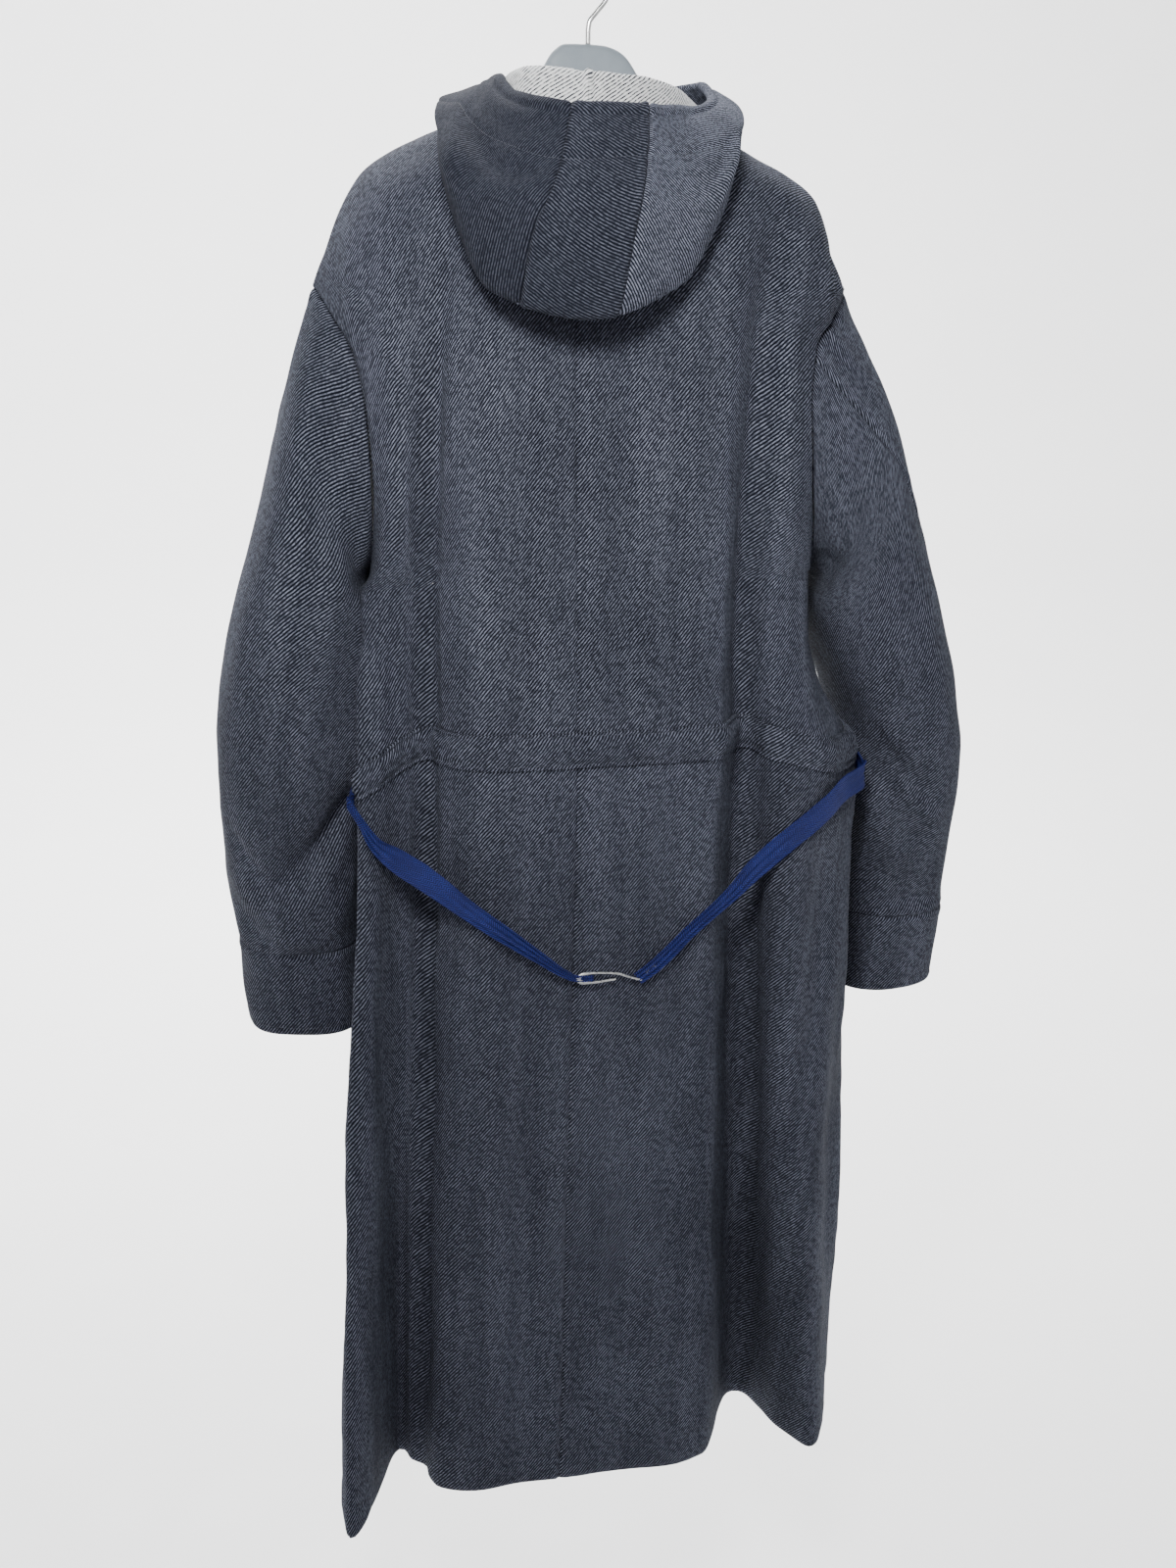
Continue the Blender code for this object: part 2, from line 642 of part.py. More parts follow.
# seams share their points: shoulder, side, centre back, and the centre front plane
for side in (1, -1):
    back, front = quarter[side, 1], quarter[side, -1]
    mean = (back[:, -1] + front[:, -1]) / 2
    for r in range(arm_cells, back.shape[0]):
        back[r, -1] = mean[r]
        front[r, -1] = mean[r]
    top = (back[0] + front[0]) / 2
    top[:, 1] = 0.0
    back[0, neck_cells:] = top[neck_cells:]
    front[0, neck_cells:] = top[neck_cells:]
for face in (1, -1):
    mean = (quarter[1, face][:, 0] + quarter[-1, face][:, 0]) / 2
    quarter[1, face][:, 0] = mean
    quarter[-1, face][:, 0] = mean

# each front passes the centre line; the right one lies under the left
for side in (1, -1):
    grid = quarter[side, -1]
    other = quarter[-side, -1]
    extra = np.zeros((grid.shape[0], 1, 3))
    for r in range(grid.shape[0]):
        run = 0.0
        points = other[r]
        for i in range(1, len(points)):
            step = float(np.linalg.norm(points[i] - points[i - 1]))
            if run + step >= front_overlap:
                t = (front_overlap - run) / step
                extra[r, 0] = points[i - 1] * (1 - t) + points[i] * t
                break
            run += step
    extra[0, 0, 2] -= 0.004
    grid = np.concatenate((extra, grid), axis=1)
    if side < 0:
        for i in range(grid.shape[1]):
            t = min(1.0, max(0.0, (5.0 - i) / 2.0))
            grid[:, i, 1] += (cloth_thick + 0.0016) * t * t * (3 - 2 * t)
    add_piece("front_" + side_name(side), grid, flip=side > 0)
    quarter[side, -1] = grid[:, 1:]
for side in (1, -1):
    add_piece("back_" + side_name(side), quarter[side, 1], flip=side < 0)

# ---------------------------------------------------------------- sleeves

for side in (1, -1):
    back, front = quarter[side, 1], quarter[side, -1]
    loop = [back[0, -1]]
    loop += [back[j, -1] for j in range(1, arm_cells + 1)]
    loop += [front[j, -1] for j in range(arm_cells - 1, 0, -1)]
    rings, shares, cuff_start = sleeve_grid(side, loop)
    count = rings.shape[1]
    name = side_name(side)
    k = 1 if side > 0 else 3
    top_rows = int(np.argmin(np.abs(shares - cuff_start))) + 1
    upper, under = [], []
    closed = np.concatenate((rings, rings, rings), axis=1)
    for r in range(top_rows):
        down = shares[r] / cuff_start
        back_turn = float(soft_table(down, column(sleeve_seams, 0), column(sleeve_seams, k)))
        front_turn = float(soft_table(down, column(sleeve_seams, 0), column(sleeve_seams, k + 1)))

        def at_turn(turn):
            k = (turn / 360.0 + 1.0) * count
            i = int(math.floor(k))
            t = k - i
            return closed[r, i] * (1 - t) + closed[r, i + 1] * t

        upper.append([at_turn(t) for t in np.linspace(front_turn, back_turn, 7)])
        under.append([at_turn(t) for t in np.linspace(back_turn, front_turn + 360, 12)])
    upper, under = np.array(upper), np.array(under)
    add_piece(f"sleeve_{name}_upper", upper, flip=side > 0)
    add_piece(f"sleeve_{name}_under", under, flip=side > 0)
    add_piece(f"cuff_{name}", rings[top_rows - 1:], flip=side > 0, wrap=True)

# ---------------------------------------------------------------- hood

neck_turns = {
    1: (0, 21, 38, 54, 72, 90, 108, 126, 144, 162, 180),
    -1: (0, -9, -28, -46, -66, -90, -108, -126, -144, -162, -180),
}
inner_shares = (0.0, 0.15, 0.28, 0.46, 0.66, 0.85, 1.0)
outer_shares = (0.0, 0.12, 0.26, 0.42, 0.58, 0.74, 0.88, 1.0)
for side in (1, -1):
    back, front = quarter[side, 1], quarter[side, -1]
    points = [back[0, i] for i in range(neck_cells + 1)]
    points += [front[0, i] for i in range(neck_cells - 1, -1, -1)]
    turns = neck_turns[side]
    rows = [[hood_point(turns[c], s, points[c]) for c in range(len(points))] for s in inner_shares]
    grid = np.array(rows)
    grid[0] = points
    add_piece("hood_neck_" + side_name(side), grid, flip=side > 0)

far_neck = (0.0, 0.07, -0.15)


def hood_panel(turns, start_of, end_of):
    """Outer hood panel: its columns start on the neck part's and spread between its seams."""
    first, last = turns[0], turns[-1]
    rows = []
    for s in outer_shares:
        a, b = start_of(s), end_of(s)
        row = [a + (t - first) / (last - first) * (b - a) for t in turns]
        rows.append([hood_point(t, 1.0 + s, far_neck) for t in row])
    return np.array(rows)


def left_seam(s):
    return float(soft_table(s, column(strip_seams, 0), column(strip_seams, 1)))


def right_seam(s):
    return float(soft_table(s, column(strip_seams, 0), column(strip_seams, 2)))


add_piece("hood_left", hood_panel(neck_turns[1][1:], left_seam, lambda s: 180.0), flip=True)
add_piece("hood_centre", hood_panel((-9, 0, 21), right_seam, left_seam), flip=True)
add_piece("hood_right", hood_panel(neck_turns[-1][:0:-1], lambda s: -180.0, right_seam), flip=True)

# ---------------------------------------------------------------- solids

weld_normals()
g = half_gap
cloth_solid("back_left", {"top": g, "start": g, "end": g})
cloth_solid("back_right", {"top": g, "start": g, "end": g})
cloth_solid("front_left", {"top": g, "end": g})
cloth_solid("front_right", {"top": g, "end": g})
for name in ("left", "right"):
    cloth_solid(f"sleeve_{name}_upper", {"top": 2 * g, "low": g, "start": g, "end": g})
    cloth_solid(f"sleeve_{name}_under", {"top": 2 * g, "low": g, "start": g, "end": g})
    cloth_solid(f"cuff_{name}", {"top": g})
cloth_solid("hood_neck_left", {"top": g, "low": 2 * g, "start": g, "end": g}, "pale")
cloth_solid("hood_neck_right", {"top": g, "low": 2 * g, "start": g, "end": g}, "pale")
cloth_solid("hood_left", {"top": 2 * g, "start": g, "end": g})
cloth_solid("hood_centre", {"top": g, "start": g, "end": g})
cloth_solid("hood_right", {"top": 2 * g, "start": g, "end": g})

# ---------------------------------------------------------------- waist casing

casing_ends = {1: 15, -1: 17}     # how many cells of each back panel the casing runs over
row = arm_cells + 2
halves, tilts = [], []
for side in (1, -1):
    name = "back_" + side_name(side)
    cells = casing_ends[side]
    halves.append(pieces[name]["grid"][row:row + 2, :cells + 1])
    tilts.append(pieces[name]["normal"][row:row + 2, :cells + 1])
casing_grid = np.concatenate((halves[0][:, ::-1], halves[1][:, 1:]), axis=1)
casing_normal = np.concatenate((tilts[0][:, ::-1], tilts[1][:, 1:]), axis=1)
pieces["waist_casing"] = {"grid": casing_grid, "normal": casing_normal, "wrap": False}
cloth_solid("waist_casing", {}, thick=0.0016, lift=lay_gap)


def belt_turn(side):
    """Middle line of a tape where it leaves the casing's open end and doubles back."""
    panel = pieces["back_" + side_name(side)]
    cell = casing_ends[side]
    line = panel["grid"][row:row + 2].mean(axis=0)
    along = unit(line[cell] - line[cell - 1]) + unit(line[cell + 1] - line[cell])
    along = unit(np.array([along[0], along[1], 0.0]))
    lift = side * np.array([-along[1], along[0], 0.0])
    tilt = unit(panel["normal"][row:row + 2, cell].mean(axis=0))
    mouth = line[cell] + along * 0.0007 + tilt * (lay_gap + 0.0008)
    path = [mouth, mouth + along * 0.002 + lift * 0.0002]
    for k in range(7):
        t = math.radians(-90 + 30 * k)
        ahead = 0.004 + belt_turn_radius * math.cos(t)
        away = 0.0010 + belt_turn_radius * (1 + math.sin(t))
        path.append(mouth + along * ahead + lift * away)
    slant = unit(panel["grid"][row, cell] - panel["grid"][row + 1, cell])
    return path, slant


# ---------------------------------------------------------------- belt

left_tape_rows = (
    # x, y, level, half width
    (0.2210, 0.0890, -0.6745, 0.0105),
    (0.2185, 0.0935, -0.6815, 0.0105),
    (0.2130, 0.0968, -0.6965, 0.0106),
    (0.2023, 0.0985, -0.7156, 0.0109),
    (0.1853, 0.1020, -0.7326, 0.0110),
    (0.1657, 0.1070, -0.7471, 0.0110),
    (0.1502, 0.1130, -0.7583, 0.0107),
    (0.1348, 0.1200, -0.7684, 0.0102),
    (0.1225, 0.1255, -0.7769, 0.0099),
    (0.1084, 0.1300, -0.7869, 0.0096),
    (0.0914, 0.1325, -0.7979, 0.0092),
    (0.0750, 0.1340, -0.8084, 0.0080),
    (0.0515, 0.1340, -0.8228, 0.0048),
    (0.0420, 0.1322, -0.8280, 0.0028),
    (0.0320, 0.1321, -0.8300, 0.0022),
    (0.0240, 0.1321, -0.8302, 0.0020),
)
right_tape_rows = (
    (-0.2350, 0.0740, -0.6790, 0.0105),
    (-0.2086, 0.1010, -0.6810, 0.0106),
    (-0.1855, 0.1185, -0.6886, 0.0108),
    (-0.1647, 0.1240, -0.7008, 0.0110),
    (-0.1425, 0.1260, -0.7160, 0.0110),
    (-0.1196, 0.1265, -0.7372, 0.0110),
    (-0.0983, 0.1290, -0.7580, 0.0110),
    (-0.0771, 0.1310, -0.7771, 0.0110),
    (-0.0579, 0.1325, -0.7948, 0.0110),
    (-0.0439, 0.1332, -0.8095, 0.0109),
    (-0.0301, 0.1328, -0.8226, 0.0107),
    (-0.0220, 0.1324, -0.8292, 0.0106),
    (-0.0150, 0.1322, -0.8340, 0.0106),
)


def smooth_path(points, count):
    """Even points along a soft curve through the given ones."""
    points = np.asarray(points, float)
    run = np.concatenate(([0.0], np.cumsum(np.linalg.norm(np.diff(points[:, :3], axis=0), axis=1))))
    fine = np.linspace(0, run[-1], count)
    return np.stack([soft_table(fine, run, points[:, k]) for k in range(points.shape[1])], axis=1)


def tape_solid(name, side, rows, count):
    """A flat tape from the casing's mouth, its width as upright as its run allows."""
    arc, slant = belt_turn(side)
    turn = [(*point, rows[0][3]) for point in arc]
    path = np.concatenate((turn[:-1], smooth_path([turn[-1], *[row[:4] for row in rows]], count)))
    middle = path[:, :3]
    along = unit(np.gradient(middle, axis=0))
    upright = np.tile((0.0, 0.0, 1.0), (len(path), 1))
    for k in range(4):
        upright[k] = unit(slant * (1 - k / 4) + upright[k] * k / 4)
    wide = unit(upright - along * np.sum(along * upright, axis=1, keepdims=True))
    out = np.cross(along, wide)
    half = path[:, 3:4]
    thick = tape_thick / 2
    corners = [
        middle + wide * half + out * thick, middle - wide * half + out * thick,
        middle - wide * half - out * thick, middle + wide * half - out * thick,
    ]
    verts = np.stack(corners, axis=1).reshape(-1, 3)
    faces = []
    for r in range(len(path) - 1):
        for k in range(4):
            j = (k + 1) % 4
            faces.append((4 * r + k, 4 * r + j, 4 * r + 4 + j, 4 * r + 4 + k))
    faces.append((3, 2, 1, 0))
    end = 4 * (len(path) - 1)
    faces.append((end, end + 1, end + 2, end + 3))
    return add_mesh(name, verts, faces, "tape")


def tube_solid(name, points, radius, colour, sides=8):
    """A round wire along a path, closed at both ends."""
    points = np.asarray(points, float)
    along = unit(np.gradient(points, axis=0))
    side_way = np.array([0.0, 1.0, 0.0])
    verts = []
    for p, a in zip(points, along):
        u = np.cross(a, side_way)
        u /= np.linalg.norm(u)
        w = np.cross(u, a)
        for k in range(sides):
            t = 2 * math.pi * k / sides
            verts.append(p + radius * (math.cos(t) * u + math.sin(t) * w))
    faces = []
    for r in range(len(points) - 1):
        for k in range(sides):
            j = (k + 1) % sides
            faces.append((r * sides + k, r * sides + j, (r + 1) * sides + j, (r + 1) * sides + k))
    faces.append(tuple(range(sides - 1, -1, -1)))
    end = (len(points) - 1) * sides
    faces.append(tuple(range(end, end + sides)))
    return add_mesh(name, verts, faces, colour)


tape_solid("belt_tape_left", 1, left_tape_rows, 44)
tape_solid("belt_tape_right", -1, right_tape_rows, 28)

belt_hook_y = 0.1345
belt_hook_points = (
    # x, level: from the free end of the eye, round its left end and out to the tail
    (0.0052, -0.8330),
    (0.0240, -0.8344),
    (0.0330, -0.8338),
    (0.0365, -0.8303),
    (0.0330, -0.8268),
    (0.0240, -0.8258),
    (0.0100, -0.8268),
    (0.0010, -0.8285),
    (-0.0080, -0.8322),
    (-0.0180, -0.8356),
)
hook_path = smooth_path([(x, belt_hook_y, z) for x, z in belt_hook_points], 26)
tube_solid("belt_hook", hook_path, belt_wire, "steel", 8)

# ---------------------------------------------------------------- hanger

plate_rows = (
    # x, top, bottom, half thickness
    (-0.0520, -0.1215, -0.146, 0.0085),
    (-0.0401, -0.0964, -0.134, 0.0085),
    (-0.0290, -0.0820, -0.130, 0.0080),
    (-0.0195, -0.0770, -0.128, 0.0075),
    (-0.0105, -0.0750, -0.127, 0.0070),
    (0.0045, -0.0744, -0.126, 0.0070),
    (0.0190, -0.0746, -0.127, 0.0070),
    (0.0290, -0.0805, -0.129, 0.0075),
    (0.0372, -0.0930, -0.132, 0.0085),
    (0.0500, -0.1180, -0.144, 0.0085),
)
arm_reach = 0.178


def cloth_under(x):
    """Height of the cloth's inner face over the hanger's arm, along the real facets."""
    side = 1 if x > 0 else -1
    top = quarter[side, 1][0, neck_cells:]
    xs, zs = side * top[:, 0], top[:, 2]
    level = float(np.interp(side * x, xs, zs))
    slope = (np.interp(side * x + 0.002, xs, zs) - np.interp(side * x - 0.002, xs, zs)) / 0.004
    return level - (cloth_thick + lay_gap + 0.0002) * math.sqrt(1 + slope ** 2)


def arm_row(x):
    top = cloth_under(x)
    share = (abs(x) - 0.062) / (arm_reach - 0.062)
    deep = 0.034 - 0.012 * share
    return (x, top, top - deep, 0.0085 + 0.0030 * share)


hanger_rows = [arm_row(-x) for x in np.linspace(arm_reach, 0.068, 13)]
hanger_rows += list(plate_rows)
hanger_rows += [arm_row(x) for x in np.linspace(0.068, arm_reach, 13)]
verts, faces = [], []
ring = 16
for x, top, bottom, half in hanger_rows:
    middle, tall = (top + bottom) / 2, (top - bottom) / 2
    for k in range(ring):
        t = 2 * math.pi * k / ring
        c, s = math.cos(t), math.sin(t)
        verts.append((
            x,
            half * s,
            middle + tall * math.copysign(abs(c) ** (1.5 if c > 0 else 0.8), c),
        ))
for r in range(len(hanger_rows) - 1):
    for k in range(ring):
        j = (k + 1) % ring
        faces.append((r * ring + k, (r + 1) * ring + k, (r + 1) * ring + j, r * ring + j))
faces.append(tuple(range(ring)))
end = (len(hanger_rows) - 1) * ring
faces.append(tuple(range(end + ring - 1, end - 1, -1)))
add_mesh("hanger_body", verts, faces, "shell")

hook_inside = 0.020
hook_turn = hook_inside + hook_wire
hook_points = [(0.0, -0.0740), (0.0, -0.0660), (-0.0010, -0.0585), (-0.0075, -0.0500), (-0.0145, -0.0415)]
for degree in range(215, -31, -15):
    t = math.radians(degree)
    hook_points.append((hook_turn * math.cos(t), -hook_inside + hook_turn * math.sin(t)))
tube_solid("hanger_hook", smooth_path([(x, 0.0, z) for x, z in hook_points], 36), hook_wire, "steel", 8)
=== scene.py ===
import math

import bmesh
import bpy
import numpy as np
from mathutils import Matrix, Vector
from mathutils.kdtree import KDTree


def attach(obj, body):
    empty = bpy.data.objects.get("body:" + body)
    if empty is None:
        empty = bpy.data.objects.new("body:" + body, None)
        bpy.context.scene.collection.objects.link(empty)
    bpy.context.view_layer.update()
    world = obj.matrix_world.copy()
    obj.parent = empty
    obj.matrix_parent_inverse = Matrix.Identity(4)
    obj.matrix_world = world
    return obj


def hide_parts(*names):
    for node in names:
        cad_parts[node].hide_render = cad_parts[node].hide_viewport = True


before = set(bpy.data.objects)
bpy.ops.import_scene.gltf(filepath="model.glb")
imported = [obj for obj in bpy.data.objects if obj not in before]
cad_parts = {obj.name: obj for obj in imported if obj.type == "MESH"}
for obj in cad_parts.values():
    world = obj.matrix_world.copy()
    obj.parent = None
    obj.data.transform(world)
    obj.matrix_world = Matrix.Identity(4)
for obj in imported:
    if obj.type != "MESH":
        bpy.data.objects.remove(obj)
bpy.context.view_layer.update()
print("frame loaded:", len(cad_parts), "nodes")

# a mountain parka seen from behind, hood thrown back, hanging on a moulded hanger
# metres, +Z up, origin at the inner top of the hanger's hook, the coat's back faces +Y

coat = {
    "clothThick": 0.0020,
    "hemLevel": -1.330,
    "armpitLevel": -0.500,
    "casingTop": -0.6165,
    "casingLow": -0.6465,
    "roundOver": 0.045,       # how far down the cloth rounds over the shoulder line
    "neckHalf": 0.062,
    "neckBackLevel": -0.146,
    "neckFrontLevel": -0.196,
    "frontOverlap": 0.026,
    "armholeDepth": 0.075,
    "hemDepth": 0.027,        # height of the turned-up hem, and how much thicker it and the cuffs are
    "hemExtra": 0.0016,
    "cuffExtra": 0.0012,
}

# height of the shoulder line from the wearer's right to the left
shoulderLine = (
    # x, level
    (-0.2254, -0.2661), (-0.2081, -0.2337), (-0.1971, -0.2040), (-0.1840, -0.1860),
    (-0.1385, -0.1580), (-0.0650, -0.1220), (0.0000, -0.0960), (0.0650, -0.1167),
    (0.1195, -0.1396), (0.1643, -0.1596), (0.1851, -0.1740), (0.2051, -0.2048),
    (0.2174, -0.2351), (0.2287, -0.2610),
)

# plan of the body at each level, before its folds
bodyRows = (
    # level, x of centre back, depth of back, x of centre front, depth of front
    (-0.090, 0.012, 0.052, 0.004, 0.052),
    (-0.146, 0.018, 0.066, 0.005, 0.074),
    (-0.200, 0.025, 0.086, 0.006, 0.090),
    (-0.260, 0.031, 0.101, 0.008, 0.100),
    (-0.340, 0.033, 0.112, 0.010, 0.108),
    (-0.500, 0.034, 0.120, 0.012, 0.112),
    (-0.630, 0.035, 0.124, 0.014, 0.110),
    (-0.880, 0.042, 0.128, 0.016, 0.112),
    (-1.360, 0.056, 0.132, 0.018, 0.118),
)

# x of the armhole seam, then of the side seam, and the side seam's y
edgeRows = {
    1: (
        # level, x, y
        (-0.261, 0.2287, 0.000), (-0.285, 0.2180, 0.000), (-0.317, 0.2030, 0.000),
        (-0.360, 0.1955, 0.000), (-0.420, 0.1925, 0.000), (-0.470, 0.1925, 0.000),
        (-0.500, 0.1930, 0.000), (-0.540, 0.1890, 0.004), (-0.600, 0.1860, 0.008),
        (-0.660, 0.1840, 0.010), (-0.750, 0.1860, 0.010), (-0.880, 0.1960, 0.008),
        (-1.000, 0.2100, 0.006), (-1.360, 0.2420, 0.005),
    ),
    -1: (
        (-0.266, -0.2254, 0.000), (-0.285, -0.2080, 0.000), (-0.310, -0.1850, 0.000),
        (-0.360, -0.1770, 0.000), (-0.420, -0.1800, 0.000), (-0.470, -0.1880, 0.000),
        (-0.500, -0.1920, 0.000), (-0.562, -0.1930, 0.008), (-0.610, -0.2060, 0.018),
        (-0.664, -0.2360, 0.030), (-0.700, -0.2375, 0.032), (-0.750, -0.2350, 0.034),
        (-0.880, -0.2365, 0.036), (-1.000, -0.2380, 0.036), (-1.360, -0.2300, 0.030),
    ),
}

# folds of each panel, main ones first, then the soft creases
foldRows = {
    # top, mid and low level, run at each, out at each, width at each, sideways
    "back_left": (
        ((-0.17, -0.63, -1.33), (0.118, 0.134, 0.144), (-0.002, -0.021, -0.052), (0.034, 0.034, 0.032), 0.00),
        ((-0.36, -0.64, -1.33), (0.180, 0.190, 0.202), (0.002, 0.040, 0.092), (0.042, 0.054, 0.068), 0.80),
        ((-0.17, -0.30, -0.44), (0.165, 0.160, 0.158), (-0.003, -0.006, 0.000), (0.024, 0.024, 0.024), 0.00),
        ((-0.32, -0.80, -1.33), (0.060, 0.068, 0.080), (0.000, 0.003, 0.006), (0.045, 0.045, 0.050), 0.00),
    ),
    "back_right": (
        ((-0.17, -0.63, -1.33), (0.172, 0.150, 0.192), (-0.005, -0.026, -0.076), (0.034, 0.032, 0.054), 0.00),
        ((-0.30, -0.80, -1.33), (0.215, 0.215, 0.250), (0.000, 0.014, 0.036), (0.040, 0.045, 0.050), 0.10),
        ((-0.34, -0.85, -1.33), (0.070, 0.080, 0.100), (0.000, 0.003, 0.006), (0.045, 0.050, 0.050), 0.00),
    ),
    "front_left": (
        ((-0.26, -0.75, -1.33), (0.110, 0.120, 0.132), (0.000, -0.010, -0.026), (0.036, 0.040, 0.046), 0.00),
        ((-0.60, -1.00, -1.33), (0.190, 0.195, 0.205), (0.000, 0.010, 0.022), (0.036, 0.040, 0.050), 0.30),
    ),
    "front_right": (
        ((-0.26, -0.75, -1.33), (0.120, 0.128, 0.150), (0.000, -0.012, -0.030), (0.034, 0.040, 0.050), 0.00),
        ((-0.60, -1.00, -1.33), (0.200, 0.205, 0.222), (0.000, 0.008, 0.020), (0.036, 0.040, 0.050), 0.30),
    ),
}


def softTable(x, knots, values):
    # smooth curve through a table without overshoot; values may hold many columns
    knots, values = np.asarray(knots, float), np.asarray(values, float)
    if knots[0] > knots[-1]:
        knots, values = knots[::-1], values[::-1]
    x = np.clip(np.asarray(x, float), knots[0], knots[-1])
    step = np.diff(knots)
    rise = np.diff(values, axis=0) / step.reshape((-1,) + (1,) * (values.ndim - 1))
    both = rise[:-1] * rise[1:] > 0
    slope = np.zeros_like(values)
    slope[1:-1] = np.where(both, 2 * rise[:-1] * rise[1:] / np.where(both, rise[:-1] + rise[1:], 1.0), 0.0)
    slope[0], slope[-1] = rise[0], rise[-1]
    i = np.clip(np.searchsorted(knots, x, side="right") - 1, 0, len(step) - 1)
    h, t = step[i], (x - knots[i]) / step[i]
    wide = np.shape(t) + (1,) * (values.ndim - 1)
    h, t = np.reshape(h, wide), np.reshape(t, wide)
    return (
        (1 + 2 * t) * (1 - t) ** 2 * values[i] + t * (1 - t) ** 2 * h * slope[i]
        + t * t * (3 - 2 * t) * values[i + 1] + t * t * (t - 1) * h * slope[i + 1]
    )


def column(rows, k):
    return [row[k] for row in rows]


def crowded(cells):
    # shares from 0 to 1 that stand closer together at both ends
    t = np.linspace(0, 1, cells + 1)
    return 0.4 * t + 0.6 * t * t * (3 - 2 * t)


def smooth(t):
    t = np.clip(t, 0.0, 1.0)
    return t * t * (3 - 2 * t)


def unit(v):
    return v / np.maximum(np.linalg.norm(v, axis=-1, keepdims=True), 1e-12)


def hump(distance, width):
    # 1 on a line, falling off on both sides
    return np.exp(-(distance / width) ** 2)


def runAlong(points):
    # distance along a line of points
    steps = np.linalg.norm(np.diff(points, axis=0), axis=-1)
    return np.concatenate((np.zeros((1,) + steps.shape[1:]), np.cumsum(steps, axis=0)))


def softWaves(u, v, seed, length, height):
    # slow uneven swell of the cloth, the same each run
    rng = np.random.default_rng(seed)
    total = np.zeros_like(u)
    for k in range(9):
        turn = rng.uniform(0, 2 * math.pi)
        size = length * rng.uniform(0.6, 1.7)
        total += np.sin(2 * math.pi * (u * math.cos(turn) + v * math.sin(turn)) / size + rng.uniform(0, 6.3))
    return height * total / 3.0


# body, from the plan of each panel at each level

body = {
    "neckCells": 16,
    "sideCells": 84,
    "armRows": 70,
    "lowRows": 215,
    "neckSpread": 1.5,        # columns crowd towards the centre seam and the side seam
    "sideSpread": 1.35,
    "stations": 480,          # points in one plan
    "roundAcross": 0.86,      # how round the plan is
    "roundDeep": 0.62,
    "stillEdge": 0.035,       # folds fade out this near the side seam
    "evened": 30,             # levels over which a panel's girth is evened
    "closed": 30,             # rows over which the shoulder seam closes
}
bodyLevels = np.linspace(-0.09, -1.385, 432)
# how far the folds lean sideways, by level
leanLevels = (-1.33, -0.80, -0.66, -0.52, -0.46)
leanShares = (0.30, 0.75, 1.0, 0.9, 0.3)


def shoulderLevel(x):
    return softTable(x, column(shoulderLine, 0), column(shoulderLine, 1))


def roundFactor(x, z):
    slope = (shoulderLevel(x + 0.001) - shoulderLevel(x - 0.001)) / 0.002
    down = (shoulderLevel(x) - z) / np.sqrt(1.0 + slope ** 2)
    t = np.clip(down / coat["roundOver"], 0.0, 1.0)
    return np.sqrt(np.clip(1.0 - (1.0 - t) ** 2, 0.0, 1.0))


def sideName(side):
    return "left" if side > 0 else "right"


def foldPush(panel, run, z):
    out, sideways = np.zeros_like(run), np.zeros_like(run)
    for levels, runs, outs, widths, lean in foldRows[panel]:
        if z > levels[0]:
            continue
        where, depth, wide = (float(softTable(z, levels, k)) for k in (runs, outs, widths))
        fade = float(smooth((levels[0] - z) / 0.10))
        if levels[2] > coat["hemLevel"] + 0.01:
            fade *= float(smooth((z - levels[2] + 0.06) / 0.10))
        t = np.clip((run - where) / wide, -1.0, 1.0)
        bump = depth * fade * np.cos(t * math.pi / 2) ** 2
        out += bump
        sideways += bump * lean
    return out, sideways


def section(z, side, face):
    # plan of one panel at a level, from the centre line to its edge
    levels = column(bodyRows, 0)
    k = 1 if face > 0 else 3
    centre = float(softTable(z, levels, column(bodyRows, k)))
    depth = face * float(softTable(z, levels, column(bodyRows, k + 1)))
    rows = edgeRows[side]
    xEnd = float(softTable(z, column(rows, 0), column(rows, 1)))
    ySide = float(softTable(z, column(rows, 0), column(rows, 2)))
    middle, half = (rows[0][0] + coat["armpitLevel"]) / 2, (rows[0][0] - coat["armpitLevel"]) / 2
    share = min(1.0, max(-1.0, (z - middle) / half))
    yEnd = ySide + face * coat["armholeDepth"] * math.sqrt(1.0 - share ** 2)
    roundX, roundY = body["roundAcross"], body["roundDeep"]
    stop = math.acos(min(1.0, max(0.0, (yEnd - ySide) / (depth - ySide))) ** (1 / roundY))
    reach = (xEnd - centre) / math.sin(stop) ** roundX
    phi = np.linspace(0.0, stop, body["stations"])
    x = centre + reach * np.sin(phi) ** roundX
    y = ySide + (depth - ySide) * np.clip(np.cos(phi), 0, 1) ** roundY
    run = runAlong(np.stack((x, y), axis=1))
    panel = ("back_" if face > 0 else "front_") + sideName(side)
    out, sideways = foldPush(panel, run, z)
    still = np.clip((run[-1] - run) / body["stillEdge"], 0.0, 1.0) * np.clip(run / 0.01, 0.0, 1.0)
    sideways = sideways * float(softTable(z, leanLevels, leanShares))
    x, y = x + side * sideways * still, y + face * out * still
    return x, y, runAlong(np.stack((x, y), axis=1))


def panelField(side, face, shares):
    # x, y and run of every station at every level
    outlines = [section(z, side, face) for z in bodyLevels]
    ends = np.array([run[-1] for _, _, run in outlines])
    reach = body["evened"]
    kernel = np.hanning(2 * reach + 3)[1:-1]
    calm = np.convolve(np.pad(ends, reach, mode="edge"), kernel / kernel.sum(), mode="valid")
    blend = (shares ** 1.5)[None]
    marks = shares[None] * (calm[:, None] * (1 - blend) + ends[:, None] * blend)
    xs = np.array([np.interp(m, run, x) for m, (x, y, run) in zip(marks, outlines)])
    ys = np.array([np.interp(m, run, y) for m, (x, y, run) in zip(marks, outlines)])
    return xs, ys, marks


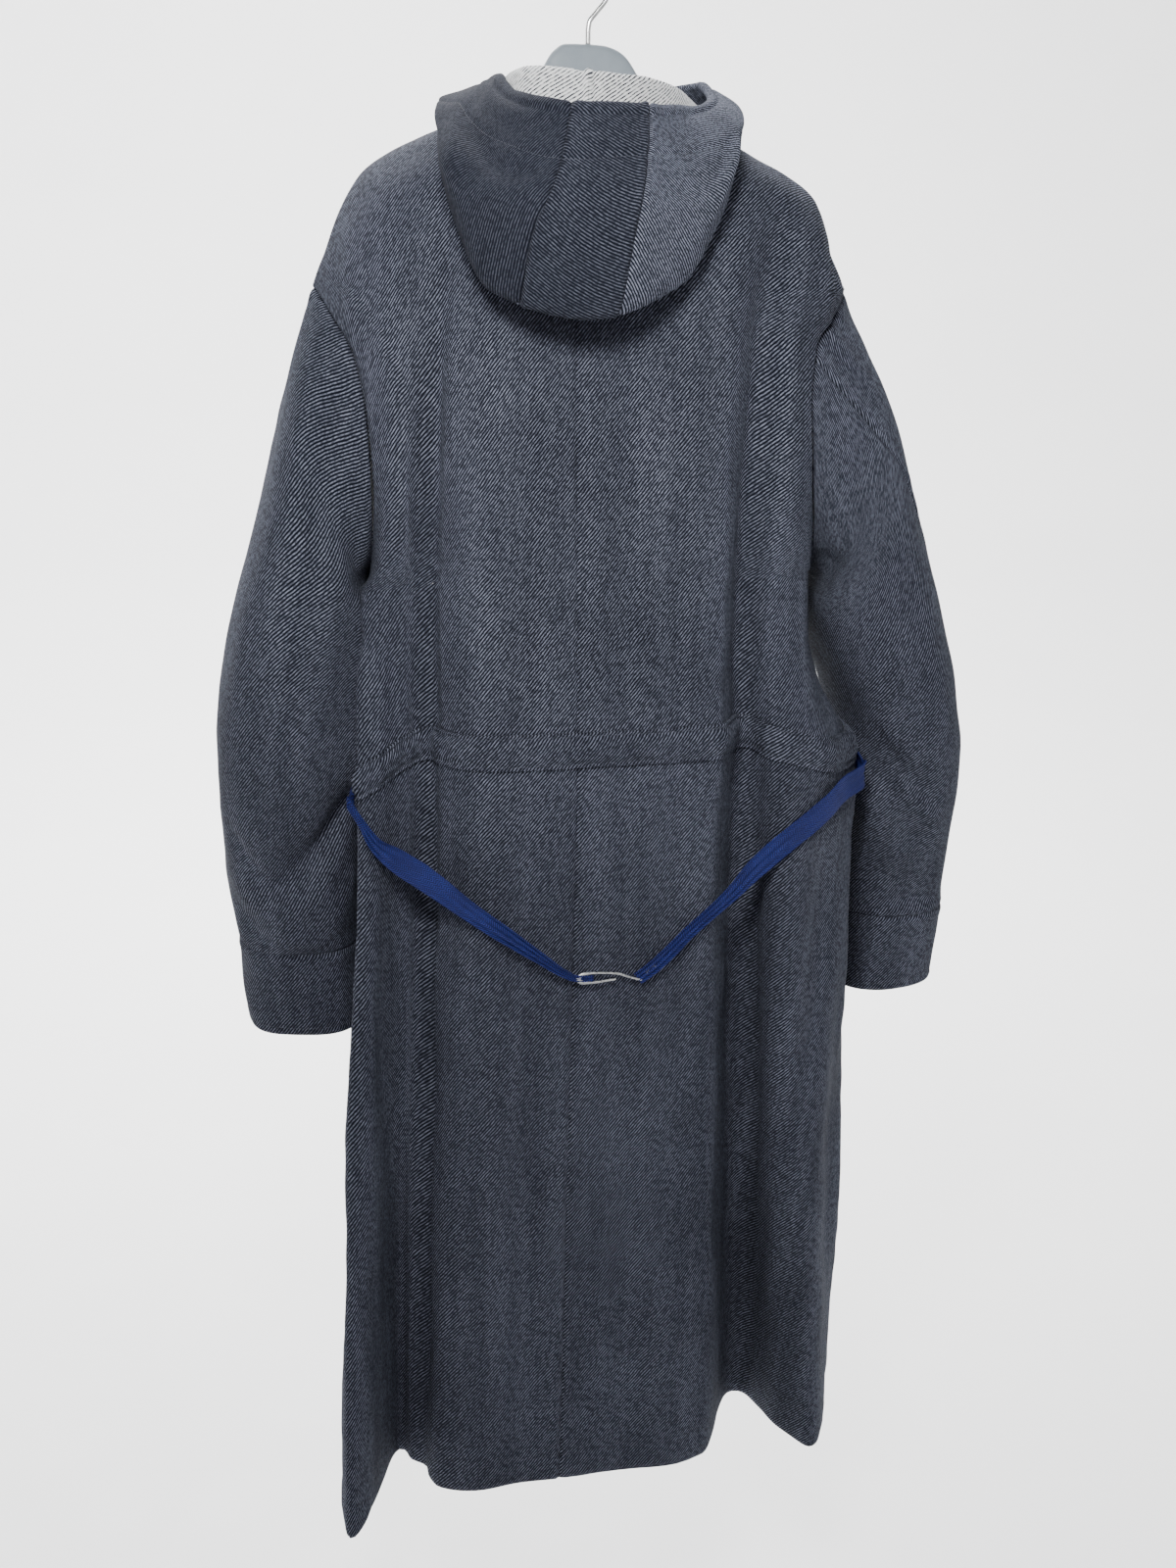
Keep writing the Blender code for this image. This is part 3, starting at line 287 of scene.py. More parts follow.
def waistDip(share, side, face):
    # the rows of the back sink towards the side seam at the waist
    if face < 0:
        return np.zeros_like(share)
    return -(0.060 if side > 0 else 0.044) * smooth((share - 0.45) / 0.55)


def readField(field, z):
    # each measure of a panel, at one level per column
    columns = range(len(z))
    return [np.array([np.interp(-z[i], -bodyLevels, part[:, i]) for i in columns]) for part in field]


armShares = np.linspace(0, 1, body["armRows"] + 1)
armTurns = ((1 - np.cos(math.pi * armShares)) / 2 + armShares ** 1.5) / 2


def bodyPanel(side, face):
    # grid of outer points, with the run across and the run down in metres
    trial = panelField(side, face, np.linspace(0, 1, 201))
    xs = readField([trial[0]], np.full(201, -0.13))[0]
    neckShare = float(np.interp(coat["neckHalf"], side * xs, np.linspace(0, 1, 201)))
    n = body["neckCells"]
    nearNeck = neckShare * np.linspace(0, 1, n + 1) ** body["neckSpread"]
    rest = 1 - (1 - np.linspace(0, 1, body["sideCells"] + 1)[1:]) ** body["sideSpread"]
    shares = np.concatenate((nearNeck, neckShare + (1 - neckShare) * rest))
    field = panelField(side, face, shares)
    tops = np.full(len(shares), -0.16)
    middle = coat["neckBackLevel"] if face > 0 else coat["neckFrontLevel"]
    sideLevel = float(shoulderLevel(side * coat["neckHalf"]))
    for _ in range(8):
        x = readField([field[0]], tops)[0]
        tops = shoulderLevel(x)
        share = np.minimum(1.0, np.abs(x[:n + 1]) / coat["neckHalf"])
        tops[:n + 1] = middle + (sideLevel - middle) * share ** (2.2 if face > 0 else 2.0)
        tops[-1] = edgeRows[side][0][0]
    near = shares ** 2
    levels = [
        tops + (coat["armpitLevel"] - tops) * (a ** 1.8 * (1 - near) + t * near)
        for a, t in zip(armShares, armTurns)
    ]
    for z in np.linspace(coat["armpitLevel"], coat["hemLevel"], body["lowRows"] + 1)[1:]:
        levels.append(z + waistDip(shares, side, face) * math.exp(-((z + 0.63) / 0.13) ** 2))
    nominal = np.concatenate((
        np.full(body["armRows"] + 1, coat["armpitLevel"]),
        np.linspace(coat["armpitLevel"], coat["hemLevel"], body["lowRows"] + 1)[1:],
    ))
    grid, across = [], []
    for z, flat in zip(levels, nominal):
        x, y, run = readField(field, z)
        y = y * roundFactor(x, z)
        # folds that stand out hang a little lower at the hem
        low = np.maximum(0.0, (-0.9 - flat) / 0.43) * 0.55 * np.maximum(0.0, y - 0.138)
        grid.append(np.stack((x, y, z - low), axis=1))
        across.append(run)
    return np.array(grid), np.array(across), shares


panels = {}
for side in (1, -1):
    for face in (1, -1):
        panels[side, face] = bodyPanel(side, face)
    # the back and the front meet along the side seam and along the shoulder
    (back, _, shares), (front, _, frontShares) = panels[side, 1], panels[side, -1]
    armEnd = body["armRows"]
    gap = (front[armEnd:, -1] - back[armEnd:, -1]) / 2
    back[armEnd:] += gap[:, None] * smooth((shares - 0.7) / 0.3)[None, :, None]
    front[armEnd:] -= gap[:, None] * smooth((frontShares - 0.7) / 0.3)[None, :, None]
    n = body["neckCells"]
    gap = (front[0, n:] - back[0, n:]) / 2
    closed = body["closed"]
    fade = smooth(1 - np.arange(closed) / (closed - 1))[:, None, None]
    back[:closed, n:] += gap[None] * fade
    front[:closed, n:] -= gap[None] * fade
print("body panels:", back.shape)

# seams share their points, and each front passes the centre line
for side in (1, -1):
    (back, _, _), (front, _, _) = panels[side, 1], panels[side, -1]
    armEnd, n = body["armRows"], body["neckCells"]
    mean = (back[armEnd:, -1] + front[armEnd:, -1]) / 2
    back[armEnd:, -1] = front[armEnd:, -1] = mean
    top = (back[0, n:] + front[0, n:]) / 2
    top[:, 1] = 0.0
    back[0, n:] = front[0, n:] = top
for face in (1, -1):
    mean = (panels[1, face][0][:, 0] + panels[-1, face][0][:, 0]) / 2
    panels[1, face][0][:, 0] = panels[-1, face][0][:, 0] = mean

pieces = {}


def addGrid(name, grid, across, down, flip, wrap=False, **more):
    # across and down are the cloth's own measures at each point, in metres
    pieces[name] = {
        "grid": np.array(grid), "across": across, "down": down,
        "flip": -1.0 if flip else 1.0, "wrap": wrap, **more,
    }


def downRun(grid):
    # measured from the armpit row, where the weave lies level
    run = runAlong(grid)
    return run - run[body["armRows"]][None] - coat["armpitLevel"]


# where one front laps over the other
lap = {"cells": 7, "columns": 15, "drop": 0.004, "proud": 0.0016, "reach": 0.062, "ease": 0.035}
for side in (1, -1):
    grid, across, shares = panels[side, -1]
    other = panels[-side, -1]
    cells, near = lap["cells"], lap["columns"]
    extra = np.zeros((len(grid), cells, 3))
    for k in range(cells):
        want = coat["frontOverlap"] * (cells - k) / cells
        for r in range(len(grid)):
            for axis in range(3):
                extra[r, k, axis] = np.interp(want, other[1][r, :near], other[0][r, :near, axis])
    extra[0, :, 2] -= lap["drop"] * np.linspace(1, 0, cells)
    wide = np.concatenate((extra, grid), axis=1)
    past = -coat["frontOverlap"] * np.linspace(1, 0, cells, endpoint=False)
    run = np.concatenate((np.tile(past, (len(grid), 1)), across), axis=1)
    if side < 0:
        wide[:, :, 1] += (coat["clothThick"] + lap["proud"]) * smooth((lap["reach"] - run) / lap["ease"])
    addGrid("front_" + sideName(side), wide, run * side, downRun(wide), flip=side > 0)
    panels[side, -1] = (wide[:, cells:], across, shares)
    grid, across, shares = panels[side, 1]
    addGrid("back_" + sideName(side), grid, across * -side, downRun(grid), flip=side < 0)

# sleeves

sleeveRows = {
    1: (
        # x out, z out, x in, z in, y middle, half depth
        (0.2546, -0.3431, 0.1955, -0.5130, 0.003, 0.080), (0.2818, -0.4387, 0.1895, -0.5300, 0.010, 0.083),
        (0.3105, -0.5389, 0.1890, -0.5750, 0.014, 0.082), (0.3260, -0.6300, 0.1840, -0.6300, 0.006, 0.080),
        (0.3285, -0.7000, 0.1960, -0.6900, -0.012, 0.074), (0.3275, -0.7600, 0.2060, -0.7550, -0.032, 0.068),
        (0.3175, -0.8362, 0.2080, -0.8400, -0.050, 0.062), (0.3140, -0.9170, 0.2080, -0.9230, -0.058, 0.060),
    ),
    -1: (
        (-0.2570, -0.3493, -0.2050, -0.5150, 0.003, 0.080),
        (-0.2890, -0.4535, -0.1985, -0.5330, 0.006, 0.083),
        (-0.3230, -0.5646, -0.2120, -0.5800, 0.008, 0.082),
        (-0.3410, -0.6400, -0.2300, -0.6300, 0.002, 0.079),
        (-0.3500, -0.7010, -0.2430, -0.6900, -0.008, 0.074),
        (-0.3515, -0.7800, -0.2480, -0.7600, -0.020, 0.068),
        (-0.3530, -0.8366, -0.2480, -0.8380, -0.030, 0.062),
        (-0.3480, -0.9119, -0.2480, -0.9160, -0.036, 0.060),
    ),
}
# folds of the sleeves: turn of the ring (0 outer, 90 back, 180 inner), along the sleeve 0 to 1
sleeveFolds = (
    # side, turn at start, along, turn at end, along, out, wide
    (1, 125, 0.10, 112, 0.58, -0.010, 0.024), (1, 150, 0.54, 55, 0.78, -0.011, 0.024),
    (1, 160, 0.66, 75, 0.88, 0.007, 0.024), (1, 20, 0.76, 60, 0.88, -0.008, 0.022),
    (-1, 150, 0.52, 95, 0.70, -0.010, 0.024), (-1, 165, 0.60, 110, 0.80, 0.006, 0.024),
    (-1, 130, 0.74, 60, 0.86, -0.007, 0.022),
    # smaller creases round the elbow and below the armhole
    (1, 140, 0.56, 84, 0.72, -0.0080, 0.010), (1, 30, 0.62, 72, 0.74, -0.0065, 0.011),
    (1, 128, 0.66, 80, 0.80, 0.0060, 0.010), (1, 60, 0.84, 100, 0.92, -0.0070, 0.010),
    (1, 165, 0.04, 120, 0.20, -0.0060, 0.013), (1, 95, 0.80, 130, 0.86, -0.0035, 0.009),
    (1, 70, 0.02, 82, 0.34, -0.0040, 0.020), (1, 240, 0.58, 300, 0.70, -0.0070, 0.018),
    (1, 225, 0.68, 290, 0.80, 0.0050, 0.018), (1, 205, 0.08, 250, 0.30, -0.0060, 0.020),
    (-1, 165, 0.04, 118, 0.22, -0.0060, 0.013), (-1, 128, 0.54, 84, 0.64, -0.0085, 0.010),
    (-1, 112, 0.60, 70, 0.70, 0.0055, 0.010), (-1, 105, 0.68, 60, 0.80, -0.0040, 0.011),
    (-1, 100, 0.02, 92, 0.30, -0.0035, 0.020),
    (-1, 240, 0.55, 300, 0.68, -0.0070, 0.018), (-1, 225, 0.66, 285, 0.79, 0.0050, 0.018),
    (-1, 205, 0.08, 250, 0.32, -0.0060, 0.020),
)
sleeveSeams = (
    # share of the length, left back seam, left front seam, right back seam, right front seam
    (0.00, -2.0, -100.0, 63.0, -100.0), (0.12, -12.0, -108.0, 70.0, -108.0),
    (0.25, -20.0, -114.0, 42.0, -114.0), (0.42, -24.0, -120.0, 12.0, -120.0),
    (0.70, -28.0, -126.0, 5.0, -126.0), (1.00, -30.0, -130.0, 0.0, -130.0),
)
sleeve = {
    "rows": 168,
    "cuffRows": 26,
    "upperCells": 46,
    "underCells": 84,
    "square": 0.80,                  # how square the rings are
    "foldScale": (0.62, 0.072),      # length and radius that turn a fold's place into metres
}


def cutOut(ring, runs, first, last, cells):
    # a strip of the ring, laid three times round, between two turns that change from row to row
    count = ring.shape[1] // 3
    rows, ways = [], []
    for r in range(len(first)):
        at = ((first[r] + (last[r] - first[r]) * crowded(cells)) / 360.0 + 1.0) * count
        i = np.floor(at).astype(int)
        t = at - i
        rows.append(ring[r, i] * (1 - t)[:, None] + ring[r, i + 1] * t[:, None])
        ways.append(runs[r, i] * (1 - t) + runs[r, i + 1] * t)
    return np.array(rows), np.array(ways)


for side in (1, -1):
    (back, _, _), (front, _, _) = panels[side, 1], panels[side, -1]
    n = body["armRows"]
    loop = np.concatenate((back[:n + 1, -1], front[n - 1:0:-1, -1]))
    turns = np.linspace(0, 2 * math.pi, len(loop), endpoint=False)
    c, s = (np.sign(k) * np.abs(k) ** sleeve["square"] for k in (np.cos(turns), np.sin(turns)))
    keys = [loop]
    for xOut, zOut, xIn, zIn, yMid, deep in sleeveRows[side]:
        out, inner = np.array([xOut, yMid, zOut]), np.array([xIn, yMid, zIn])
        keys.append((out + inner) / 2 + c[:, None] * (out - inner) / 2 + s[:, None] * np.array([0, deep, 0]))
    keys = np.array(keys)
    run = runAlong(keys.mean(axis=1))
    length = run[-1]
    run /= length
    cuffStart = run[-2]
    cuffShares = np.linspace(cuffStart, 1, sleeve["cuffRows"] + 1)[1:]
    shares = np.concatenate((np.linspace(0, cuffStart, sleeve["rows"] + 1), cuffShares))
    grid = softTable(shares, run, keys)
    centre = grid.mean(axis=1, keepdims=True)
    away = unit(grid - centre)
    foldScale = np.array(sleeve["foldScale"])
    here = np.stack(np.broadcast_arrays(shares[:, None], turns[None]), axis=-1) * foldScale
    still = smooth(shares / 0.04) * smooth((cuffStart - shares) / 0.03)
    for owner, turnA, alongA, turnB, alongB, out, wide in sleeveFolds:
        if owner != side:
            continue
        a = np.array([alongA, math.radians(turnA)]) * foldScale
        b = np.array([alongB, math.radians(turnB)]) * foldScale
        t = np.clip(((here - a) @ (b - a)) / ((b - a) @ (b - a)), 0, 1)
        off = np.linalg.norm(here - a - t[..., None] * (b - a), axis=-1)
        push = out * np.sin(math.pi * (0.12 + 0.76 * t)) * hump(off, wide) * still[:, None]
        grid = grid + away * push[..., None]
    ring = np.concatenate((grid, grid, grid), axis=1)
    around = runAlong(np.concatenate((grid, grid[:, :1]), axis=1).transpose(1, 0, 2)).T
    girth = around[:, -1]
    once = around[:, :-1]
    allRound = np.concatenate((once - girth[:, None], once, once + girth[:, None]), axis=1)
    rowsTop = sleeve["rows"] + 1
    k = 1 if side > 0 else 3
    name = sideName(side)
    down = shares[:rowsTop] / cuffStart
    backTurn = softTable(down, column(sleeveSeams, 0), column(sleeveSeams, k))
    frontTurn = softTable(down, column(sleeveSeams, 0), column(sleeveSeams, k + 1))
    lengthRun = (shares * length)[:, None]
    upper = cutOut(ring, allRound, frontTurn, backTurn, sleeve["upperCells"])
    under = cutOut(ring, allRound, backTurn, frontTurn + 360, sleeve["underCells"])
    for part, (strip, stripRun) in (("upper", upper), ("under", under)):
        long = lengthRun[:rowsTop] + 0 * stripRun
        addGrid(f"sleeve_{name}_{part}", strip, stripRun * side, long, flip=side > 0)
    cuff = grid[sleeve["rows"]:]
    cuffRun = np.concatenate((around[sleeve["rows"]:, :-1], girth[sleeve["rows"]:, None]), axis=1)
    addGrid(
        f"cuff_{name}", np.concatenate((cuff, cuff[:, :1]), axis=1), cuffRun * side,
        lengthRun[sleeve["rows"]:] + 0 * cuffRun, flip=side > 0, wrap=True,
    )
print("sleeves:", upper[0].shape, under[0].shape)

# hood, thrown back

hoodRows = (
    # turn round the neck (0 back, 90 left, 180 front), ridge r, z, low r, z, out r, z, rim r, z
    (-180, 0.096, -0.168, 0.112, -0.190, 0.118, -0.180, 0.110, -0.156),
    (-150, 0.088, -0.135, 0.112, -0.168, 0.120, -0.157, 0.099, -0.128),
    (-120, 0.077, -0.112, 0.112, -0.132, 0.122, -0.122, 0.089, -0.102),
    (-90, 0.075, -0.113, 0.114, -0.134, 0.125, -0.121, 0.094, -0.100),
    (-60, 0.082, -0.112, 0.137, -0.156, 0.144, -0.144, 0.111, -0.1195),
    (-45, 0.086, -0.110, 0.149, -0.212, 0.158, -0.178, 0.113, -0.1240),
    (-30, 0.089, -0.108, 0.146, -0.262, 0.162, -0.205, 0.121, -0.1260),
    (0, 0.090, -0.106, 0.150, -0.287, 0.172, -0.215, 0.140, -0.1290),
    (30, 0.089, -0.102, 0.152, -0.266, 0.166, -0.205, 0.110, -0.1180),
    (45, 0.083, -0.104, 0.147, -0.212, 0.156, -0.178, 0.094, -0.1070),
    (60, 0.077, -0.107, 0.130, -0.156, 0.138, -0.144, 0.081, -0.1000),
    (90, 0.072, -0.109, 0.110, -0.128, 0.121, -0.119, 0.082, -0.1060),
    (120, 0.084, -0.111, 0.112, -0.130, 0.120, -0.122, 0.094, -0.111),
    (150, 0.090, -0.138, 0.112, -0.168, 0.118, -0.157, 0.104, -0.136),
    (180, 0.096, -0.168, 0.112, -0.190, 0.118, -0.180, 0.110, -0.156),
)
hood = {
    "lean": 0.21,
    "rows": 66,
    "sideCells": 96,
    "centreCells": 24,
    "neckRows": 40,
    "rimShare": 0.975,        # where the rim turns over
    "rimRadius": 0.0034,
    "facing": 0.034,
    "dip": 0.012,             # how far the wall sags between the ridge and the low point
}
hoodMarks = (0.0, 0.28, 1.0, 1.45, 2.0)     # shares of the way at the neck, ridge, low point, out and rim
stripSeams = (
    # share of the way up, left seam, right seam
    (0.00, 21.0, -9.0), (0.32, 15.5, -12.0), (0.65, 8.2, -16.5), (1.00, 5.0, -22.5),
)
neckTurns = {
    1: (0, 21, 38, 54, 72, 90, 108, 126, 144, 162, 180),
    -1: (0, -9, -28, -46, -66, -90, -108, -126, -144, -162, -180),
}
neckAway = np.array([0.0, 0.07, -0.15])


def hoodRow(turn, share, neck):
    # one row of the hood; share 0 at the neck seam, 1 at the low point, 2 at the rim
    keys = column(hoodRows, 0)
    r, z = [np.hypot(neck[:, 0], neck[:, 1])], [neck[:, 2]]
    for k in (1, 3, 5, 7):
        r.append(softTable(turn, keys, column(hoodRows, k)))
        z.append(softTable(turn, keys, column(hoodRows, k + 1)))
    ridge = hoodMarks[1]
    a = np.radians(turn)
    reach = softTable(np.array([share]), hoodMarks, np.array(r))[0]
    height = softTable(np.array([share]), hoodMarks, np.array(z))[0]
    if ridge < share < 1.0:
        sag = hood["dip"] * math.sin(math.pi * (share - ridge) / (1.0 - ridge))
        reach = reach - sag * np.maximum(0.0, np.cos(a))
    y = reach * np.cos(a)
    x = reach * np.sin(a) + hood["lean"] * np.maximum(0.0, y) * min(1.0, share / ridge)
    if share < ridge:
        t = share / ridge
        x, y = neck[:, 0] + (x - neck[:, 0]) * t, neck[:, 1] + (y - neck[:, 1]) * t
    return np.stack((x, y, height), axis=1)


for side in (1, -1):
    (back, _, _), (front, _, _) = panels[side, 1], panels[side, -1]
    n = body["neckCells"]
    points = np.concatenate((back[0, :n + 1], front[0, n - 1::-1]))
    marks = 5.0 * np.linspace(0, 1, n + 1) ** body["neckSpread"]
    turns = np.interp(np.concatenate((marks, 10.0 - marks[-2::-1])), np.arange(11), neckTurns[side])
    finer = np.linspace(0, 2 * n, 4 * n + 1)
    points = softTable(finer, np.arange(2 * n + 1), points)
    turns = softTable(finer, np.arange(2 * n + 1), turns)
    grid = np.array([hoodRow(turns, s, points) for s in np.linspace(0, 1, hood["neckRows"] + 1)])
    grid[0] = points
    run = runAlong(grid.transpose(1, 0, 2)).T
    addGrid("hood_neck_" + sideName(side), grid, run * side, runAlong(grid), flip=side > 0)


def hoodPanel(name, startOf, endOf, cells):
    rows = []
    for s in np.linspace(0, hood["rimShare"], hood["rows"] + 1):
        turn = startOf(s) + (endOf(s) - startOf(s)) * crowded(cells)
        rows.append(hoodRow(turn, 1.0 + s, np.tile(neckAway, (cells + 1, 1))))
    grid = np.array(rows)
    # the rim's edge turns over a cord of its own cloth and runs down inside as a facing
    along = unit(grid[-1] - grid[-3])
    row = unit(np.gradient(grid[-1], axis=0))
    inward = unit(np.cross(row, along))
    towardNeck = neckAway[None] + np.array([0, -0.02, 0.04]) - grid[-1]
    inward *= np.sign((inward * towardNeck).sum(axis=1, keepdims=True).mean())
    radius = hood["rimRadius"]
    for degree in range(20, 191, 17):
        t = math.radians(degree)
        rows.append(grid[-1] + radius * (along * math.sin(t) + inward * (1 - math.cos(t))))
    last = rows[-1]
    for k in range(1, 11):
        rows.append(last - along * (hood["facing"] * k / 10) * 0.8 + inward * 0.0006 * k)
    grid = np.array(rows)
    run = runAlong(grid.transpose(1, 0, 2)).T
    middle = run[:, cells // 2:cells // 2 + 1]
    addGrid(name, grid, run - middle, runAlong(grid), flip=True, rimRow=hood["rows"])


def stripTurn(k):
    # turn of the centre strip's left (1) or right (2) seam, by share of the way up
    return lambda s: float(softTable(s, column(stripSeams, 0), column(stripSeams, k)))


hoodPanel("hood_left", stripTurn(1), lambda s: 180.0, hood["sideCells"])
hoodPanel("hood_centre", stripTurn(2), stripTurn(1), hood["centreCells"])
hoodPanel("hood_right", lambda s: -180.0, stripTurn(2), hood["sideCells"])
print("hood:", pieces["hood_left"]["grid"].shape)

# seams, creases and swell of each piece

seam = (0.0019, 0.0022, 0.0008, 0.009)     # groove depth and width, welt height and width
plainSeam = (0.0018, 0.0022, 0.0003, 0.006)
stripSeam = (0.0017, 0.0020, 0.0011, 0.007)
freeEdge = (0.0007, 0.0012, 0.0, 0.006)
foldedEdge = (0.0008, 0.0014, 0.0, 0.006)
edgeWork = {
    "back_left": {"start": plainSeam, "end": plainSeam, "top": plainSeam, "low": freeEdge},
    "back_right": {"start": plainSeam, "end": plainSeam, "top": plainSeam, "low": freeEdge},
    "front_left": {"start": foldedEdge, "end": plainSeam, "top": plainSeam, "low": freeEdge},
    "front_right": {"start": foldedEdge, "end": plainSeam, "top": plainSeam, "low": freeEdge},
    "hood_left": {"start": plainSeam}, "hood_right": {"end": plainSeam},
    "hood_centre": {"start": stripSeam, "end": stripSeam},
    "hood_neck_left": {"start": seam, "top": plainSeam},
    "hood_neck_right": {"start": plainSeam, "top": plainSeam},
}
# how far from an edge each row of stitches runs, and the lines pressed into each piece there
sewnAt = {"hem": 0.025, "front": 0.008, "cuff": 0.007, "rim": 0.045, "casing": 0.0032}
pressedLines = {}
for name in ("left", "right"):
    edgeWork[f"sleeve_{name}_upper"] = {"start": seam, "end": seam, "top": seam, "low": plainSeam}
    edgeWork[f"sleeve_{name}_under"] = {"start": plainSeam, "end": plainSeam, "top": seam, "low": plainSeam}
    edgeWork[f"cuff_{name}"] = {"top": seam, "low": foldedEdge}
    pressedLines[f"back_{name}"] = (("low", sewnAt["hem"]),)
    pressedLines[f"front_{name}"] = (("low", sewnAt["hem"]), ("start", sewnAt["front"]))
    pressedLines[f"cuff_{name}"] = (("low", sewnAt["cuff"]),)

# creases: points as (across, level), then height out and width
creaseRows = {
    "back_left": (
        # the deep valley beside the hanging drape, and the drape's rounded edge
        (((0.100, -0.420), (0.116, -0.640), (0.122, -0.900), (0.120, -1.420)), -0.0060, 0.022),
        (((0.100, -0.230), (0.114, -0.330), (0.127, -0.460), (0.141, -0.630)), -0.0115, 0.010),
        (((0.136, -0.540), (0.147, -0.800), (0.148, -1.020), (0.146, -1.420)), -0.0140, 0.010),
        (((0.132, -0.300), (0.142, -0.460), (0.157, -0.630)), 0.0085, 0.011),
        (((0.152, -0.560), (0.164, -0.800), (0.166, -1.020), (0.166, -1.420)), 0.0105, 0.011),
        (((0.050, -0.190), (0.062, -0.330), (0.058, -0.500)), 0.0024, 0.018),
        (((0.100, -1.000), (0.108, -1.180), (0.104, -1.400)), 0.0040, 0.020),
        (((0.150, -0.205), (0.128, -0.330), (0.112, -0.470)), -0.0030, 0.014),
        (((0.176, -0.250), (0.150, -0.360), (0.135, -0.520)), 0.0025, 0.016),
        (((0.235, -0.520), (0.170, -0.560), (0.100, -0.640)), -0.0030, 0.012),
        (((0.090, -0.655), (0.105, -0.760), (0.100, -0.900)), -0.0035, 0.013),
        (((0.050, -0.665), (0.056, -0.730), (0.050, -0.800)), 0.0022, 0.010),
        (((0.190, -0.700), (0.205, -0.860), (0.196, -1.080)), -0.0040, 0.017),
        (((0.230, -0.720), (0.245, -0.930), (0.238, -1.190)), 0.0035, 0.018),
        (((0.030, -0.900), (0.042, -1.060), (0.034, -1.240)), -0.0022, 0.020),
        (((0.300, -0.780), (0.310, -0.980), (0.300, -1.250)), -0.0060, 0.022),
        (((0.350, -0.700), (0.352, -0.900), (0.360, -1.200)), 0.0050, 0.024),
    ),
    "back_right": (
        (((0.176, -0.210), (0.170, -0.330), (0.164, -0.460), (0.168, -0.640)), -0.0085, 0.013),
        (((0.166, -0.560), (0.187, -0.800), (0.216, -1.010), (0.262, -1.420)), -0.0135, 0.014),
        (((0.204, -0.600), (0.228, -0.800), (0.262, -1.010), (0.316, -1.420)), 0.0090, 0.017),
        (((0.118, -0.420), (0.114, -0.560), (0.116, -0.720)), 0.0030, 0.016),
        (((0.060, -0.220), (0.052, -0.380), (0.058, -0.540)), -0.0022, 0.018),
        (((0.100, -1.020), (0.108, -1.180), (0.122, -1.400)), 0.0040, 0.020),
        (((0.165, -0.205), (0.150, -0.330), (0.132, -0.455)), -0.0030, 0.015),
        (((0.110, -0.230), (0.104, -0.350), (0.112, -0.520)), 0.0020, 0.020),
        (((0.225, -0.515), (0.180, -0.550), (0.120, -0.600)), -0.0030, 0.013),
        (((0.085, -0.655), (0.080, -0.760), (0.092, -0.910)), -0.0030, 0.014),
        (((0.040, -0.668), (0.036, -0.740), (0.044, -0.830)), 0.0020, 0.011),
        (((0.245, -0.690), (0.268, -0.840), (0.262, -1.060)), -0.0055, 0.018),
        (((0.290, -0.700), (0.300, -0.880), (0.310, -1.150)), 0.0050, 0.022),
        (((0.130, -0.950), (0.128, -1.100), (0.150, -1.290)), 0.0026, 0.022),
        (((0.350, -0.720), (0.360, -0.930), (0.362, -1.230)), -0.0055, 0.022),
    ),
    "front_left": (
        (((0.060, -0.250), (0.085, -0.420), (0.080, -0.620)), -0.0030, 0.020),
        (((0.205, -0.530), (0.150, -0.600), (0.090, -0.700)), -0.0035, 0.016),
        (((0.150, -0.640), (0.165, -0.850), (0.160, -1.150)), 0.0045, 0.022),
        (((0.230, -0.640), (0.235, -0.870), (0.250, -1.220)), -0.0050, 0.022),
        (((0.050, -0.700), (0.060, -0.900), (0.055, -1.200)), -0.0035, 0.024),
    ),
    "front_right": (
        (((0.070, -0.250), (0.080, -0.400), (0.092, -0.600)), -0.0030, 0.020),
        (((0.215, -0.530), (0.160, -0.610), (0.100, -0.690)), -0.0035, 0.016),
        (((0.160, -0.640), (0.170, -0.840), (0.180, -1.130)), 0.0045, 0.022),
        (((0.245, -0.650), (0.262, -0.900), (0.270, -1.210)), -0.0050, 0.022),
        (((0.060, -0.720), (0.058, -0.930), (0.070, -1.190)), -0.0035, 0.024),
    ),
    # on the hood the second number is the run down from its low point
    "hood_left": (
        (((-0.235, 0.120), (-0.170, 0.085), (-0.100, 0.060)), -0.0050, 0.012),
        (((-0.215, 0.020), (-0.140, 0.040), (-0.060, 0.050)), 0.0042, 0.014),
        (((-0.150, 0.150), (-0.110, 0.110), (-0.050, 0.080)), 0.0034, 0.013),
        (((-0.090, 0.170), (-0.050, 0.120), (-0.020, 0.060)), -0.0038, 0.012),
    ),
    "hood_right": (
        (((0.250, 0.110), (0.190, 0.080), (0.120, 0.060)), -0.0042, 0.013),
        (((0.225, 0.030), (0.160, 0.045), (0.090, 0.050)), 0.0036, 0.014),
        (((0.120, 0.160), (0.080, 0.110), (0.040, 0.060)), -0.0030, 0.013),
    ),
    "hood_centre": (
        (((-0.040, 0.060), (0.000, 0.075), (0.040, 0.064)), -0.0016, 0.012),
    ),
}
swell = {"height": 0.0011, "length": 0.15, "fine": 0.00035, "fineLength": 0.045, "calmEdge": 0.022}
evenedPasses = 14          # how often the back's directions are averaged along a row


def gridNormals(grid):
    du = np.gradient(grid, axis=1)
    dv = np.gradient(grid, axis=0)
    return np.cross(dv, du)


def boundary(piece):
    rows, cols = piece["grid"].shape[:2]
    marks = np.zeros((rows, cols), bool)
    marks[0] = marks[-1] = True
    marks[:, 0] = marks[:, -1] = True
    return marks


